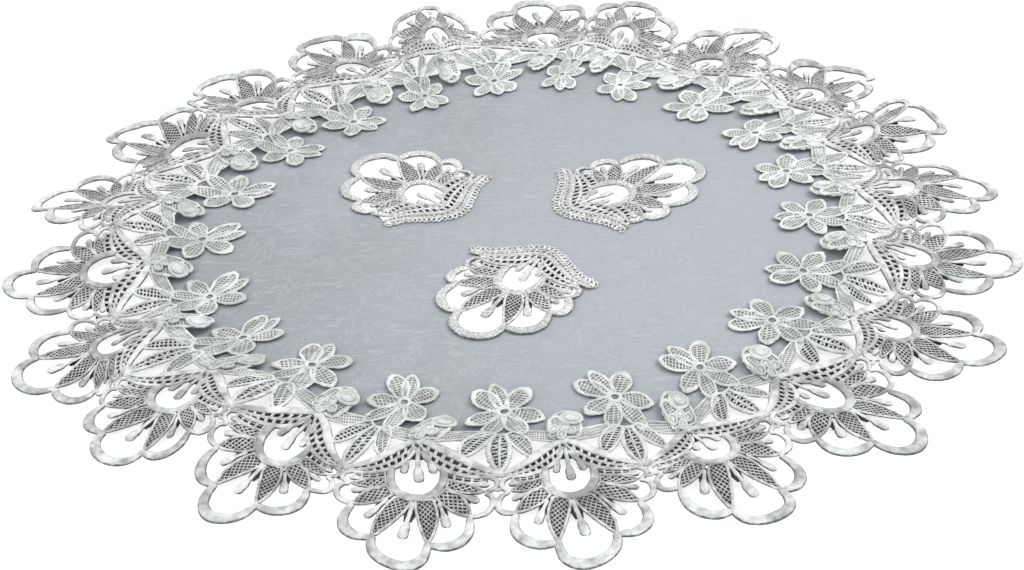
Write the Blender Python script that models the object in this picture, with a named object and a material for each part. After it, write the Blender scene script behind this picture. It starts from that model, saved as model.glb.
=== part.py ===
"""Round lace doily: a plain linen centre, a guipure lace border of 21 scallop shells
with flowers on its inner edge, and three lace shells let into the centre.

Metres, +Z up. The origin is on the underside of the linen, at the middle of the
flower ring; -Y is the front. The doily lies flat on its linen, and the stiff lace
around it rises and dips a few millimetres, as the rows of LAY say.
"""

import math

import bmesh
import bpy
import numpy as np
from mathutils import Vector
from mathutils.geometry import delaunay_2d_cdt

MM = 0.001

# Counts and sizes, in millimetres
REPEATS = 21  # shells, flowers and buds round the border
FLOWER_R = 152.0  # centres of the flowers
PEAK_R = 180.0  # inner point of a shell, where its two wings meet
LINK_R = 195.5  # where the wings of neighbouring shells are joined
CUP_R = 211.6  # bottom of the U-shaped band round a shell's middle
NOTCH_R = 218.6  # outer notches between a shell's second and third loops
NOTCH_A = 6.58  # ... and their angle from the shell's axis, degrees
JOINT_R = 236.0  # where the middle loop meets the loops beside it
JOINT_A = 3.13  # ... and its angle from the shell's axis, degrees
TIP_R = 248.4  # outer edge of the large middle loop
TURN = -5.6  # how far the first shell is turned from the -Y axis, degrees
LINEN_R = 173.5  # edge of the linen, under the garland between flowers
STILL_R = 110.0  # inside this the cloth lies undisturbed
LINEN_T = 1.0
LACE_T = 1.5
GAP = 0.3  # between linen and lace
LACE_Z = LINEN_T + GAP + LACE_T / 2  # middle of the lace where it lies on the linen
REST_Z = LACE_T / 2  # middle of the lace where it touches the table

# How each repeat lies, one row per repeat from the front, anticlockwise from above.
# Millimetres from the even ring: _r is outward, _t is sideways (anticlockwise), _z is
# the height of the middle of the lace.
LAY_COLUMNS = (
    "flower_r flower_t peak_r peak_t peak_z cup_r cup_t cup_z tip_r tip_t tip_z "
    "near_r near_t far_r far_t left_r left_t right_r right_t link_r link_t link_z"
).split()
LAY = (
    (2, 4, -3, 3, 5, -4, 2, 3, -3, 3, 5, -4, 3, -2, 4, -4, 5, -4, 5, -1, 4, 2),
    (2, 5, 4, -1, 2, -2, 2, 5, -2, 3, 7, -3, 3, 0, -1, 0, 2, 0, 1, -2, 1, 4),
    (2, 0, -1, -4, 2, 1, 1, 2, 0, 0, 4, 0, 0, 1, -4, -2, 2, -1, 0, 0, 0, 5),
    (2, 1, 2, -2, 2, 0, -1, 1, 0, 0, 5, 1, -4, -2, -3, 0, -2, -1, -2, -3, -5, 1),
    (-1, -3, -4, -3, 8, -2, -4, 1, -2, -4, 5, -3, -3, -3, -3, -2, -4, -2, -5, -7, -6, 1),
    (-3, 1, -5, -2, 4, -4, -4, 5, -3, -8, 1, -2, -1, -6, -7, -4, -6, -5, -7, -5, -7, 1),
    (-6, 0, -3, -1, 2, -1, -3, 4, -2, -12, 1, -8, -7, 1, -9, -2, -7, 7, 2, 2, -11, 1),
    (-2, -1, 5, -10, 2, 4, -10, 1, 0, -16, 1, 3, -7, 0, -5, 4, -7, 0, -6, 1, -6, 2),
    (-4, -1, -2, 1, 3, -4, -1, 2, -2, -2, 4, 6, 1, 0, 0, 10, -1, -2, -3, -9, 2, 1),
    (-4, 8, 3, 1, 6, 5, 0, 10, 6, -2, 6, -8, -5, 13, 1, 0, -3, 12, 1, 5, -3, 1),
    (3, 1, 7, -14, 2, 8, -7, 1, 8, 1, 6, 21, -7, 5, 1, 11, -4, 7, 0, 4, 0, 1),
    (-3, -3, 0, -1, 11, 4, -3, 15, 8, -8, 8, -5, 0, 9, -4, 9, 1, 14, -12, 3, -7, 1),
    (-8, -3, -3, -6, 5, 1, -3, 5, 2, 5, 6, 0, -5, 2, -1, 6, -5, 4, -1, 3, 3, 3),
    (-10, 3, -3, 1, 4, 6, 3, 1, 7, 7, 3, 7, -3, 14, 0, 14, -4, 8, 2, 4, 0, 9),
    (-4, 4, 0, -2, 6, 5, 1, 2, 9, 2, 5, 13, -11, 9, -5, 7, -8, 12, -6, 13, 3, 4),
    (2, 9, 8, 0, 7, 11, 1, 5, 13, 2, 4, 9, -1, 10, -6, 12, -3, 14, -5, 8, -2, 9),
    (8, 6, 4, 2, 5, 7, -1, 3, 7, 2, 6, 8, 3, 7, 0, 7, 5, 7, 1, 6, 7, 1),
    (6, 11, 3, 2, 7, 6, 0, 2, 5, 4, 2, 7, 1, 6, 4, 7, 1, 4, 5, 12, -6, 3),
    (4, 4, -1, -6, 5, -3, -3, 2, -5, 8, 5, 7, -2, -8, -2, -1, 2, -6, 5, -7, -5, 8),
    (-5, -1, -8, 1, 4, -7, -3, 2, -7, -3, 4, -8, -2, -8, -2, -9, -2, -9, -3, -3, -2, 1),
    (0, 6, -2, -2, 7, -6, 2, 1, -5, 7, 4, -6, 1, -3, 3, -7, 2, -5, 3, -4, 5, 4),
)

# Half outlines of one shell, millimetres: x sideways from the axis, y out from the
# middle of the doily. The other half is the mirror image.
SHELL_EDGE = (  # from the join with the next shell round to the middle loop's tip
    (31.0, 208.5),  # join
    (28.6, 214.0),  # second loop
    (25.0, 217.0),  # notch
    (27.4, 223.5),  # third loop
    (25.6, 230.5),
    (20.0, 235.2),
    (12.9, 235.7),  # notch
    (12.2, 241.0),  # middle loop
    (7.6, 246.3),
    (0.0, 248.4),
)
OVAL = (  # opening inside the U band, from its outer end round to the middle pistil
    (0.0, 208.6),
    (6.2, 206.2),
    (9.0, 200.0),
    (9.0, 194.5),
    (3.0, 194.0),
    (2.2, 202.0),
)
MIDDLE_LOOP = (  # opening of the middle loop, from its outer end round to its pistil
    (0.0, 243.7),
    (5.8, 241.2),
    (8.8, 234.2),
    (3.0, 225.2),
    (2.4, 231.6),
)
SIDE_LOOP = (  # opening of the third loop on one side
    (22.6, 219.4),
    (23.0, 225.6),
    (19.6, 231.0),
    (12.4, 231.9),
    (12.2, 221.4),
    (15.4, 223.6),
    (17.2, 219.0),
)
LEAF_GAP = (  # opening beside the middle leaf under a flower, x from the flower's axis
    (3.9, 177.0),
    (7.4, 174.6),
    (11.2, 179.0),
    (9.4, 182.6),
    (3.4, 187.2),
)
# Inner edge of the border, x from the flower's axis and from the shell's axis
FLOWER_EDGE = (
    (-3.0, 133.4),
    (2.6, 139.6),
    (11.6, 138.0),
    (12.4, 149.4),
    (17.4, 158.4),
    (14.4, 164.0),
)
FLOWER_EDGE_LEFT = ((-6.8, 139.6), (-14.0, 137.4), (-12.4, 149.6), (-15.6, 159.0), (-13.0, 164.0))
BUD_EDGE = ((7.2, 163.0), (5.0, 157.4))

# The shells let into the linen: where each one's point lies, the way it points
# (degrees from +X) and how much larger it is than a border shell, across and along
INSET_COLUMNS = ("name", "x", "y", "points", "across", "along")
INSETS = (
    ("inset_left", -35.2, 10.6, 128.0, 1.07, 1.13),
    ("inset_right", 32.0, 2.9, 23.0, 1.05, 1.16),
    ("inset_front", 10.5, -43.5, 236.0, 1.05, 1.02),
)
INSET_PEAK = 182.0  # the y of SHELL_EDGE that lies at an inset's point
INSET_TOP = (  # the inset's upper edge, with its looped picot border
    (33.5, 193.0),
    (21.0, 182.0),
    (10.0, 174.0),
    (0.0, 170.0),
)
INSET_SIDE = ((31.0, 204.0),)
HEM = 3.0  # how far the linen reaches under an inset's edge

LINEN_GREY = (0.43, 0.46, 0.50, 1.0)
LACE_WHITE = (0.86, 0.86, 0.84, 1.0)


# ------------------------------------------------------------------ the lay of the lace


def polar(r, degrees):
    a = math.radians(degrees)
    return np.array((r * math.cos(a), r * math.sin(a)))


def shell_angle(i):
    return TURN - 90.0 + (i + 0.5) * 360.0 / REPEATS


def flower_angle(i):
    return shell_angle(i) - 180.0 / REPEATS


def thin_plate(distance):
    return np.where(distance > 0, distance**2 * np.log(np.maximum(distance, 1e-9)), 0.0)


class ThinPlate:
    """The smoothest bent plate through values given at points of the plane."""

    def __init__(self, points, values):
        self.points = np.asarray(points, float) / 100.0
        values = np.asarray(values, float).reshape(len(self.points), -1)
        n = len(self.points)
        apart = np.linalg.norm(self.points[:, None] - self.points[None], axis=-1)
        plane = np.hstack([np.ones((n, 1)), self.points])
        system = np.zeros((n + 3, n + 3))
        system[:n, :n] = thin_plate(apart)
        system[:n, n:] = plane
        system[n:, :n] = plane.T
        right = np.vstack([values, np.zeros((3, values.shape[1]))])
        self.weights = np.linalg.solve(system, right)

    def __call__(self, points):
        points = np.asarray(points, float) / 100.0
        apart = np.linalg.norm(points[:, None] - self.points[None], axis=-1)
        plane = np.hstack([np.ones((len(points), 1)), points])
        return thin_plate(apart) @ self.weights[:-3] + plane @ self.weights[-3:]


def build_lay():
    """The plates that move the even ring sideways and lift it."""
    places, shifts, spots, heights = [], [], [], []

    def mark(r, degrees, out, side, height=None):
        a = math.radians(degrees)
        place = polar(r, degrees)
        places.append(place)
        shifts.append(
            (
                out * math.cos(a) - side * math.sin(a),
                out * math.sin(a) + side * math.cos(a),
            )
        )
        if height is not None:
            spots.append(place)
            heights.append(height)

    for i, values in enumerate(LAY):
        row = dict(zip(LAY_COLUMNS, values))
        axis = shell_angle(i)
        mark(FLOWER_R, flower_angle(i), row["flower_r"], row["flower_t"], LACE_Z)
        mark(PEAK_R, axis, row["peak_r"], row["peak_t"], row["peak_z"])
        mark(CUP_R, axis, row["cup_r"], row["cup_t"], row["cup_z"])
        mark(TIP_R, axis, row["tip_r"], row["tip_t"], row["tip_z"])
        mark(NOTCH_R, axis - NOTCH_A, row["near_r"], row["near_t"])
        mark(NOTCH_R, axis + NOTCH_A, row["far_r"], row["far_t"])
        mark(JOINT_R, axis - JOINT_A, row["left_r"], row["left_t"])
        mark(JOINT_R, axis + JOINT_A, row["right_r"], row["right_t"])
        link = axis + 180.0 / REPEATS
        mark(LINK_R, link, row["link_r"], row["link_t"], row["link_z"])
    for k in range(12):
        mark(STILL_R, k * 30.0, 0, 0, LACE_Z)
    mark(0, 0, 0, 0, LACE_Z)
    return ThinPlate(places, shifts), ThinPlate(spots, heights)


SIDEWAYS, UPWARDS = build_lay()


def smooth_step(x):
    x = np.clip(x, 0, 1)
    return x * x * (3 - 2 * x)


def lay(points):
    """(x, y, z of the lace's middle) of points on the even ring, all in millimetres."""
    points = np.asarray(points, float)
    radius = np.linalg.norm(points, axis=1)
    plan = points + SIDEWAYS(points)
    over = smooth_step((radius - LINEN_R - 2.5) / 10.0)  # 0 on the linen, 1 past it
    lift = smooth_step((radius - 156.0) / 20.0)  # the lace rises from here outwards
    floor = LACE_Z + over * (REST_Z - LACE_Z)
    height = floor + lift * np.maximum(UPWARDS(points)[:, 0] - floor, 0)
    return np.column_stack([plan, height])


# ------------------------------------------------------------------------- sheet makers


def mirrored(half):
    """A closed outline from its half with x >= 0; points on the axis stay single."""
    return list(half) + [(-x, y) for x, y in reversed(half) if abs(x) > 1e-9]


def both_sides(outline):
    return [outline, [(-x, y) for x, y in reversed(outline)]]


def turned(points, degrees):
    """Points given as (sideways, outward), set round the ring at this angle."""
    a = math.radians(degrees)
    out, side = np.array((math.cos(a), math.sin(a))), np.array((-math.sin(a), math.cos(a)))
    return [tuple(y * out + x * side) for x, y in points]


def inside(points, outline):
    """Which of the points lie inside a closed outline."""
    x, y = np.asarray(points, float).T
    found = np.zeros(len(x), bool)
    ends = list(outline[1:]) + [outline[0]]
    for (ax, ay), (bx, by) in zip(outline, ends):
        crosses = (ay > y) != (by > y)
        with np.errstate(divide="ignore", invalid="ignore"):
            reach = (bx - ax) * (y - ay) / (by - ay) + ax
        found ^= crosses & (x < reach)
    return found


def flat_triangles(outer, holes, spots):
    """Points and triangles of a flat sheet with holes in it."""
    flat, edges = [], []
    for outline in [outer, *holes]:
        first = len(flat)
        flat += [Vector(p) for p in outline]
        edges += [(first + k, first + (k + 1) % len(outline)) for k in range(len(outline))]
    flat += [Vector(p) for p in spots]
    points, _, faces, *_ = delaunay_2d_cdt(flat, edges, [], 0, 1e-6)
    points = np.array([tuple(p) for p in points])
    faces = np.array([tuple(f) for f in faces])
    middles = points[faces].mean(axis=1)
    keep = inside(middles, outer)
    for hole in holes:
        keep &= ~inside(middles, hole)
    return points, faces[keep]


def closed_sheet(name, flat, faces, bottom, top, material):
    """A closed sheet between two surfaces over the same triangles, in millimetres."""
    mesh = bmesh.new()
    low = [mesh.verts.new(Vector(p) * MM) for p in bottom]
    high = [mesh.verts.new(Vector(p) * MM) for p in top]
    counts = {}
    for face in faces:
        a, b, c = (int(k) for k in face)
        turn = np.cross(flat[b] - flat[a], flat[c] - flat[a])
        if turn < 0:
            b, c = c, b
        mesh.faces.new((high[a], high[b], high[c]))
        mesh.faces.new((low[c], low[b], low[a]))
        for edge in ((a, b), (b, c), (c, a)):
            counts[edge] = counts.get(edge, 0) + 1
    for (a, b) in counts:
        if (b, a) not in counts:
            mesh.faces.new((low[a], low[b], high[b], high[a]))
    loose = [v for v in mesh.verts if not v.link_faces]
    bmesh.ops.delete(mesh, geom=loose, context="VERTS")
    data = bpy.data.meshes.new(name)
    mesh.to_mesh(data)
    mesh.free()
    data.materials.append(material)
    made = bpy.data.objects.new(name, data)
    bpy.context.scene.collection.objects.link(made)
    return made


def cloth_material(name, colour, roughness):
    material = bpy.data.materials.new(name)
    material.use_nodes = True
    shader = material.node_tree.nodes["Principled BSDF"]
    shader.inputs["Base Color"].default_value = colour
    shader.inputs["Roughness"].default_value = roughness
    shader.inputs["Metallic"].default_value = 0.0
    return material


# --------------------------------------------------------------------------- the pieces


def make_border():
    """The lace border: one ring with its scallops, ovals, loops and leaf gaps."""
    outer, inner, holes, spots = [], [], [], []
    for i in range(REPEATS):
        axis, flower = shell_angle(i), flower_angle(i)
        lower = [(-x, y) for x, y in SHELL_EDGE]
        upper = list(reversed(SHELL_EDGE[:-1]))
        # The join is shared with the next shell, so each shell gives only its first.
        outer += turned((lower + upper)[:-1], axis)
        petals = list(reversed(FLOWER_EDGE_LEFT)) + list(FLOWER_EDGE)
        inner += turned(petals, flower)
        inner += turned([(-x, y) for x, y in BUD_EDGE] + list(reversed(BUD_EDGE)), axis)
        for shape in (OVAL, MIDDLE_LOOP):
            holes.append(turned(mirrored(shape), axis))
        for shape in both_sides(SIDE_LOOP):
            holes.append(turned(shape, axis))
        for shape in both_sides(LEAF_GAP):
            holes.append(turned(shape, flower))
        spots += turned([(0, 174), (0, PEAK_R), (-15, 190), (15, 190)], axis)
        spots += turned([(0, LINK_R), (0, 166)], flower)
    flat, faces = flat_triangles(outer, [inner, *holes], spots)
    middle = lay(flat)
    half = np.array((0, 0, LACE_T / 2))
    name = "lace_border"
    material = cloth_material(name, LACE_WHITE, 0.7)
    return closed_sheet(name, flat, faces, middle - half, middle + half, material)


def inset_frame(row):
    """A function that sets shell points into an inset's place in the linen."""
    a = math.radians(row["points"])
    along = np.array((math.cos(a), math.sin(a))) * row["along"]
    across = np.array((-math.sin(a), math.cos(a))) * row["across"]
    start = np.array((row["x"], row["y"]))

    def place(points):
        return [tuple(start + (y - INSET_PEAK) * along + x * across) for x, y in points]

    return place


def inset_outline():
    half = list(INSET_TOP[::-1]) + list(INSET_SIDE) + list(SHELL_EDGE[1:])
    return half + [(-x, y) for x, y in reversed(half[1:-1])]


def drawn_in(outline, by):
    """The outline moved inwards by this much."""
    points = np.array(outline)
    area = 0.5 * np.sum(
        points[:, 0] * np.roll(points[:, 1], -1) - points[:, 1] * np.roll(points[:, 0], -1)
    )
    before, after = points - np.roll(points, 1, axis=0), np.roll(points, -1, axis=0) - points
    before /= np.linalg.norm(before, axis=1)[:, None]
    after /= np.linalg.norm(after, axis=1)[:, None]
    normal = np.column_stack([-(before + after)[:, 1], (before + after)[:, 0]])
    normal /= np.linalg.norm(normal, axis=1)[:, None]
    cosine = np.clip(np.abs((normal * np.column_stack([-after[:, 1], after[:, 0]])).sum(1)), 0.6, 1)
    return [tuple(p) for p in points + normal * (by * math.copysign(1, area) / cosine)[:, None]]


def make_insets():
    """The lace shells let into the linen, and the outlines to cut away under them."""
    made, cuts = [], []
    for values in INSETS:
        row = dict(zip(INSET_COLUMNS, values))
        place = inset_frame(row)
        outer = place(inset_outline())
        holes = [place(mirrored(shape)) for shape in (OVAL, MIDDLE_LOOP)]
        holes += [place(shape) for shape in both_sides(SIDE_LOOP)]
        flat, faces = flat_triangles(outer, holes, place([(0, 186), (-15, 193), (15, 193)]))
        low = np.column_stack([flat, np.full(len(flat), LINEN_T + GAP)])
        high = low + (0, 0, LACE_T)
        material = cloth_material(row["name"], LACE_WHITE, 0.7)
        made.append(closed_sheet(row["name"], flat, faces, low, high, material))
        cuts.append(drawn_in(outer, HEM))
    return made, cuts


def make_linen(cuts):
    """The plain round centre, cut away under each inset."""
    steps = REPEATS * 3
    rim = [polar(LINEN_R, TURN - 90.0 + k * 360.0 / steps) for k in range(steps)]
    rim = [tuple(p) for p in lay(rim)[:, :2]]
    flat, faces = flat_triangles(rim, cuts, [])
    low = np.column_stack([flat, np.zeros(len(flat))])
    name = "linen_centre"
    material = cloth_material(name, LINEN_GREY, 0.85)
    return closed_sheet(name, flat, faces, low, low + (0, 0, LINEN_T), material)


def main():
    for old in list(bpy.data.objects):
        bpy.data.objects.remove(old)
    make_border()
    _, cuts = make_insets()
    make_linen(cuts)
    for made in bpy.data.objects:
        made.data.set_sharp_from_angle(angle=math.radians(40))


main()
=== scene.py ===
"""A round lace doily, finished: a crinkled linen centre, a guipure lace border of scallop
shells with flowers, leaves and buds on its inner edge, and three lace shells let in.

Every stitched shape is real geometry: padded satin bands, cords, net threads, pistils,
ladders and picots are drawn flat in millimetres, set round the ring and then laid with
the same thin plates as the solids. Lengths are in millimetres until a mesh is made.
"""

import math

import bpy
import numpy as np
from mathutils import Matrix, Vector
from mathutils.geometry import delaunay_2d_cdt


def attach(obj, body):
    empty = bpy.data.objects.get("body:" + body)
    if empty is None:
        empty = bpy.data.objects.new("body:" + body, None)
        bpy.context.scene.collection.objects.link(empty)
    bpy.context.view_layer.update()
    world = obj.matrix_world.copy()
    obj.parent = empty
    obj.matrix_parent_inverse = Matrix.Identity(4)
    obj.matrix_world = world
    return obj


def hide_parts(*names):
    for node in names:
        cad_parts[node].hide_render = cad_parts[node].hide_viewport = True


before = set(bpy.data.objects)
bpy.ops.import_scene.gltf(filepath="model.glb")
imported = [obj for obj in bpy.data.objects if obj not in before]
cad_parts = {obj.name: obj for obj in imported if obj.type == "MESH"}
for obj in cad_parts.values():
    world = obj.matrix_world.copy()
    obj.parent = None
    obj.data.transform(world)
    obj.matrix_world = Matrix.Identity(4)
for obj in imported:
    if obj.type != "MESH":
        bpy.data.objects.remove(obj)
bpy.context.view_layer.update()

MM = 0.001

# ------------------------------------------------------------- the ring, as in the solids

REPEATS = 21
FLOWER_R, PEAK_R, LINK_R, CUP_R, TIP_R = 152.0, 180.0, 195.5, 211.6, 248.4
NOTCH_R, NOTCH_A = 218.6, 6.58
JOINT_R, JOINT_A = 236.0, 3.13
TURN = -5.6
LINEN_R, STILL_R = 173.5, 110.0
LINEN_T, LACE_T, GAP = 1.0, 1.5, 0.3
LACE_Z = LINEN_T + GAP + LACE_T / 2
REST_Z = LACE_T / 2
LAY_COLUMNS = (
    "flower_r flower_t peak_r peak_t peak_z cup_r cup_t cup_z tip_r tip_t tip_z "
    "near_r near_t far_r far_t left_r left_t right_r right_t link_r link_t link_z"
).split()
LAY = (
    (2, 4, -3, 3, 5, -4, 2, 3, -3, 3, 5, -4, 3, -2, 4, -4, 5, -4, 5, -1, 4, 2),
    (2, 5, 4, -1, 2, -2, 2, 5, -2, 3, 7, -3, 3, 0, -1, 0, 2, 0, 1, -2, 1, 4),
    (2, 0, -1, -4, 2, 1, 1, 2, 0, 0, 4, 0, 0, 1, -4, -2, 2, -1, 0, 0, 0, 5),
    (2, 1, 2, -2, 2, 0, -1, 1, 0, 0, 5, 1, -4, -2, -3, 0, -2, -1, -2, -3, -5, 1),
    (-1, -3, -4, -3, 8, -2, -4, 1, -2, -4, 5, -3, -3, -3, -3, -2, -4, -2, -5, -7, -6, 1),
    (-3, 1, -5, -2, 4, -4, -4, 5, -3, -8, 1, -2, -1, -6, -7, -4, -6, -5, -7, -5, -7, 1),
    (-6, 0, -3, -1, 2, -1, -3, 4, -2, -12, 1, -8, -7, 1, -9, -2, -7, 7, 2, 2, -11, 1),
    (-2, -1, 5, -10, 2, 4, -10, 1, 0, -16, 1, 3, -7, 0, -5, 4, -7, 0, -6, 1, -6, 2),
    (-4, -1, -2, 1, 3, -4, -1, 2, -2, -2, 4, 6, 1, 0, 0, 10, -1, -2, -3, -9, 2, 1),
    (-4, 8, 3, 1, 6, 5, 0, 10, 6, -2, 6, -8, -5, 13, 1, 0, -3, 12, 1, 5, -3, 1),
    (3, 1, 7, -14, 2, 8, -7, 1, 8, 1, 6, 21, -7, 5, 1, 11, -4, 7, 0, 4, 0, 1),
    (-3, -3, 0, -1, 11, 4, -3, 15, 8, -8, 8, -5, 0, 9, -4, 9, 1, 14, -12, 3, -7, 1),
    (-8, -3, -3, -6, 5, 1, -3, 5, 2, 5, 6, 0, -5, 2, -1, 6, -5, 4, -1, 3, 3, 3),
    (-10, 3, -3, 1, 4, 6, 3, 1, 7, 7, 3, 7, -3, 14, 0, 14, -4, 8, 2, 4, 0, 9),
    (-4, 4, 0, -2, 6, 5, 1, 2, 9, 2, 5, 13, -11, 9, -5, 7, -8, 12, -6, 13, 3, 4),
    (2, 9, 8, 0, 7, 11, 1, 5, 13, 2, 4, 9, -1, 10, -6, 12, -3, 14, -5, 8, -2, 9),
    (8, 6, 4, 2, 5, 7, -1, 3, 7, 2, 6, 8, 3, 7, 0, 7, 5, 7, 1, 6, 7, 1),
    (6, 11, 3, 2, 7, 6, 0, 2, 5, 4, 2, 7, 1, 6, 4, 7, 1, 4, 5, 12, -6, 3),
    (4, 4, -1, -6, 5, -3, -3, 2, -5, 8, 5, 7, -2, -8, -2, -1, 2, -6, 5, -7, -5, 8),
    (-5, -1, -8, 1, 4, -7, -3, 2, -7, -3, 4, -8, -2, -8, -2, -9, -2, -9, -3, -3, -2, 1),
    (0, 6, -2, -2, 7, -6, 2, 1, -5, 7, 4, -6, 1, -3, 3, -7, 2, -5, 3, -4, 5, 4),
)
INSET_COLUMNS = ("name", "x", "y", "points", "across", "along")
INSETS = (
    ("inset_left", -35.2, 10.6, 128.0, 1.07, 1.13),
    ("inset_right", 32.0, 2.9, 23.0, 1.05, 1.16),
    ("inset_front", 10.5, -43.5, 236.0, 1.05, 1.02),
)
INSET_PEAK = 182.0


def polar(r, degrees):
    a = math.radians(degrees)
    return np.array((r * math.cos(a), r * math.sin(a)))


def shell_angle(i):
    return TURN - 90.0 + (i + 0.5) * 360.0 / REPEATS


def flower_angle(i):
    return shell_angle(i) - 180.0 / REPEATS


def thin_plate(distance):
    return np.where(distance > 0, distance**2 * np.log(np.maximum(distance, 1e-9)), 0.0)


class ThinPlate:
    """The smoothest bent plate through values given at points of the plane."""

    def __init__(self, points, values):
        self.points = np.asarray(points, float) / 100.0
        values = np.asarray(values, float).reshape(len(self.points), -1)
        n = len(self.points)
        apart = np.linalg.norm(self.points[:, None] - self.points[None], axis=-1)
        plane = np.hstack([np.ones((n, 1)), self.points])
        system = np.zeros((n + 3, n + 3))
        system[:n, :n] = thin_plate(apart)
        system[:n, n:] = plane
        system[n:, :n] = plane.T
        right = np.vstack([values, np.zeros((3, values.shape[1]))])
        self.weights = np.linalg.solve(system, right)

    def __call__(self, points):
        points = np.asarray(points, float) / 100.0
        found = []
        for some in np.array_split(points, max(1, len(points) // 4000)):
            apart = np.linalg.norm(some[:, None] - self.points[None], axis=-1)
            plane = np.hstack([np.ones((len(some), 1)), some])
            found.append(thin_plate(apart) @ self.weights[:-3] + plane @ self.weights[-3:])
        return np.vstack(found)


def build_lay():
    """The plates that move the even ring sideways and lift it."""
    places, shifts, spots, heights = [], [], [], []

    def mark(r, degrees, out, side, height=None):
        a = math.radians(degrees)
        place = polar(r, degrees)
        places.append(place)
        shifts.append(
            (
                out * math.cos(a) - side * math.sin(a),
                out * math.sin(a) + side * math.cos(a),
            )
        )
        if height is not None:
            spots.append(place)
            heights.append(height)

    for i, values in enumerate(LAY):
        row = dict(zip(LAY_COLUMNS, values))
        axis = shell_angle(i)
        mark(FLOWER_R, flower_angle(i), row["flower_r"], row["flower_t"], LACE_Z)
        mark(PEAK_R, axis, row["peak_r"], row["peak_t"], row["peak_z"])
        mark(CUP_R, axis, row["cup_r"], row["cup_t"], row["cup_z"])
        mark(TIP_R, axis, row["tip_r"], row["tip_t"], row["tip_z"])
        mark(NOTCH_R, axis - NOTCH_A, row["near_r"], row["near_t"])
        mark(NOTCH_R, axis + NOTCH_A, row["far_r"], row["far_t"])
        mark(JOINT_R, axis - JOINT_A, row["left_r"], row["left_t"])
        mark(JOINT_R, axis + JOINT_A, row["right_r"], row["right_t"])
        link = axis + 180.0 / REPEATS
        mark(LINK_R, link, row["link_r"], row["link_t"], row["link_z"])
    for k in range(12):
        mark(STILL_R, k * 30.0, 0, 0, LACE_Z)
    mark(0, 0, 0, 0, LACE_Z)
    return ThinPlate(places, shifts), ThinPlate(spots, heights)


SIDEWAYS, UPWARDS = build_lay()


def smooth_step(x):
    x = np.clip(x, 0, 1)
    return x * x * (3 - 2 * x)


def lay(points):
    """(x, y, z of the lace's middle) of points on the even ring, all in millimetres."""
    points = np.asarray(points, float)
    radius = np.linalg.norm(points, axis=1)
    plan = points + SIDEWAYS(points)
    over = smooth_step((radius - LINEN_R - 2.5) / 10.0)  # 0 on the linen, 1 past it
    lift = smooth_step((radius - 156.0) / 20.0)  # the lace rises from here outwards
    floor = LACE_Z + over * (REST_Z - LACE_Z)
    height = floor + lift * np.maximum(UPWARDS(points)[:, 0] - floor, 0)
    return np.column_stack([plan, height])


def turned(points, degrees):
    """Points given as (sideways, outward), set round the ring at this angle."""
    points = np.asarray(points, float)
    a = math.radians(degrees)
    out, side = np.array((math.cos(a), math.sin(a))), np.array((-math.sin(a), math.cos(a)))
    return points[:, 1:2] * out + points[:, :1] * side


# ------------------------------------------------------------------------ stitched shapes

# The last two slots are sheets of painted shade, a grey one and a dark one, put under nets and in gaps where only shade
# shows.
SATIN, THREAD, BLOOM, GREY_SHADE, DARK_SHADE = range(5)  # material slots of a lace piece

# Cross-sections: share of the half width across, share of the rise up; over the top
# from right to left, then back underneath
PADDED = np.array(
    ((-1, -0.2), (-0.9, 0.45), (-0.58, 0.86), (0, 1), (0.58, 0.86), (0.9, 0.45), (1, -0.2), (0, -0.5))
)
RIM = np.array(((-1, -0.2), (-0.8, 0.68), (0, 1), (0.8, 0.68), (1, -0.2), (0, -0.6)))
CORD = np.array(((-1, 0), (-0.62, 0.75), (0.62, 0.75), (1, 0), (0, -0.8)))
TWIST = np.array(((-1, -0.5), (0, 1), (1, -0.5)))


def mirror(table):
    """The same rows on the other side of the axis, in the order that keeps them facing up."""
    table = np.array(table, float)
    table[:, 0] *= -1
    return table[::-1]


def smoothed(table, step, closed=False):
    """A smooth curve through the rows of a table, at even steps; other columns go along."""
    table = np.array(table, float)
    n = len(table)
    if closed:
        padded = np.vstack([table[-1:], table, table[:2]])
        spans = n
    else:
        padded = np.vstack([2 * table[:1] - table[1:2], table, 2 * table[-1:] - table[-2:-1]])
        spans = n - 1
    t = np.linspace(0, 1, 9)[:-1, None]
    line = []
    for k in range(spans):
        a, b, c, d = padded[k : k + 4]
        line.append(
            0.5
            * (
                2 * b
                + (c - a) * t
                + (2 * a - 5 * b + 4 * c - d) * t**2
                + (3 * b - a - 3 * c + d) * t**3
            )
        )
    line.append(table[:1] if closed else table[-1:])
    line = np.vstack(line)
    along = np.concatenate([[0], np.cumsum(np.linalg.norm(np.diff(line[:, :2], axis=0), axis=1))])
    count = max(3, int(round(along[-1] / step)) + 1)
    at = np.linspace(0, along[-1], count)
    even = np.column_stack([np.interp(at, along, line[:, k]) for k in range(line.shape[1])])
    return even[:-1] if closed else even


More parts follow.
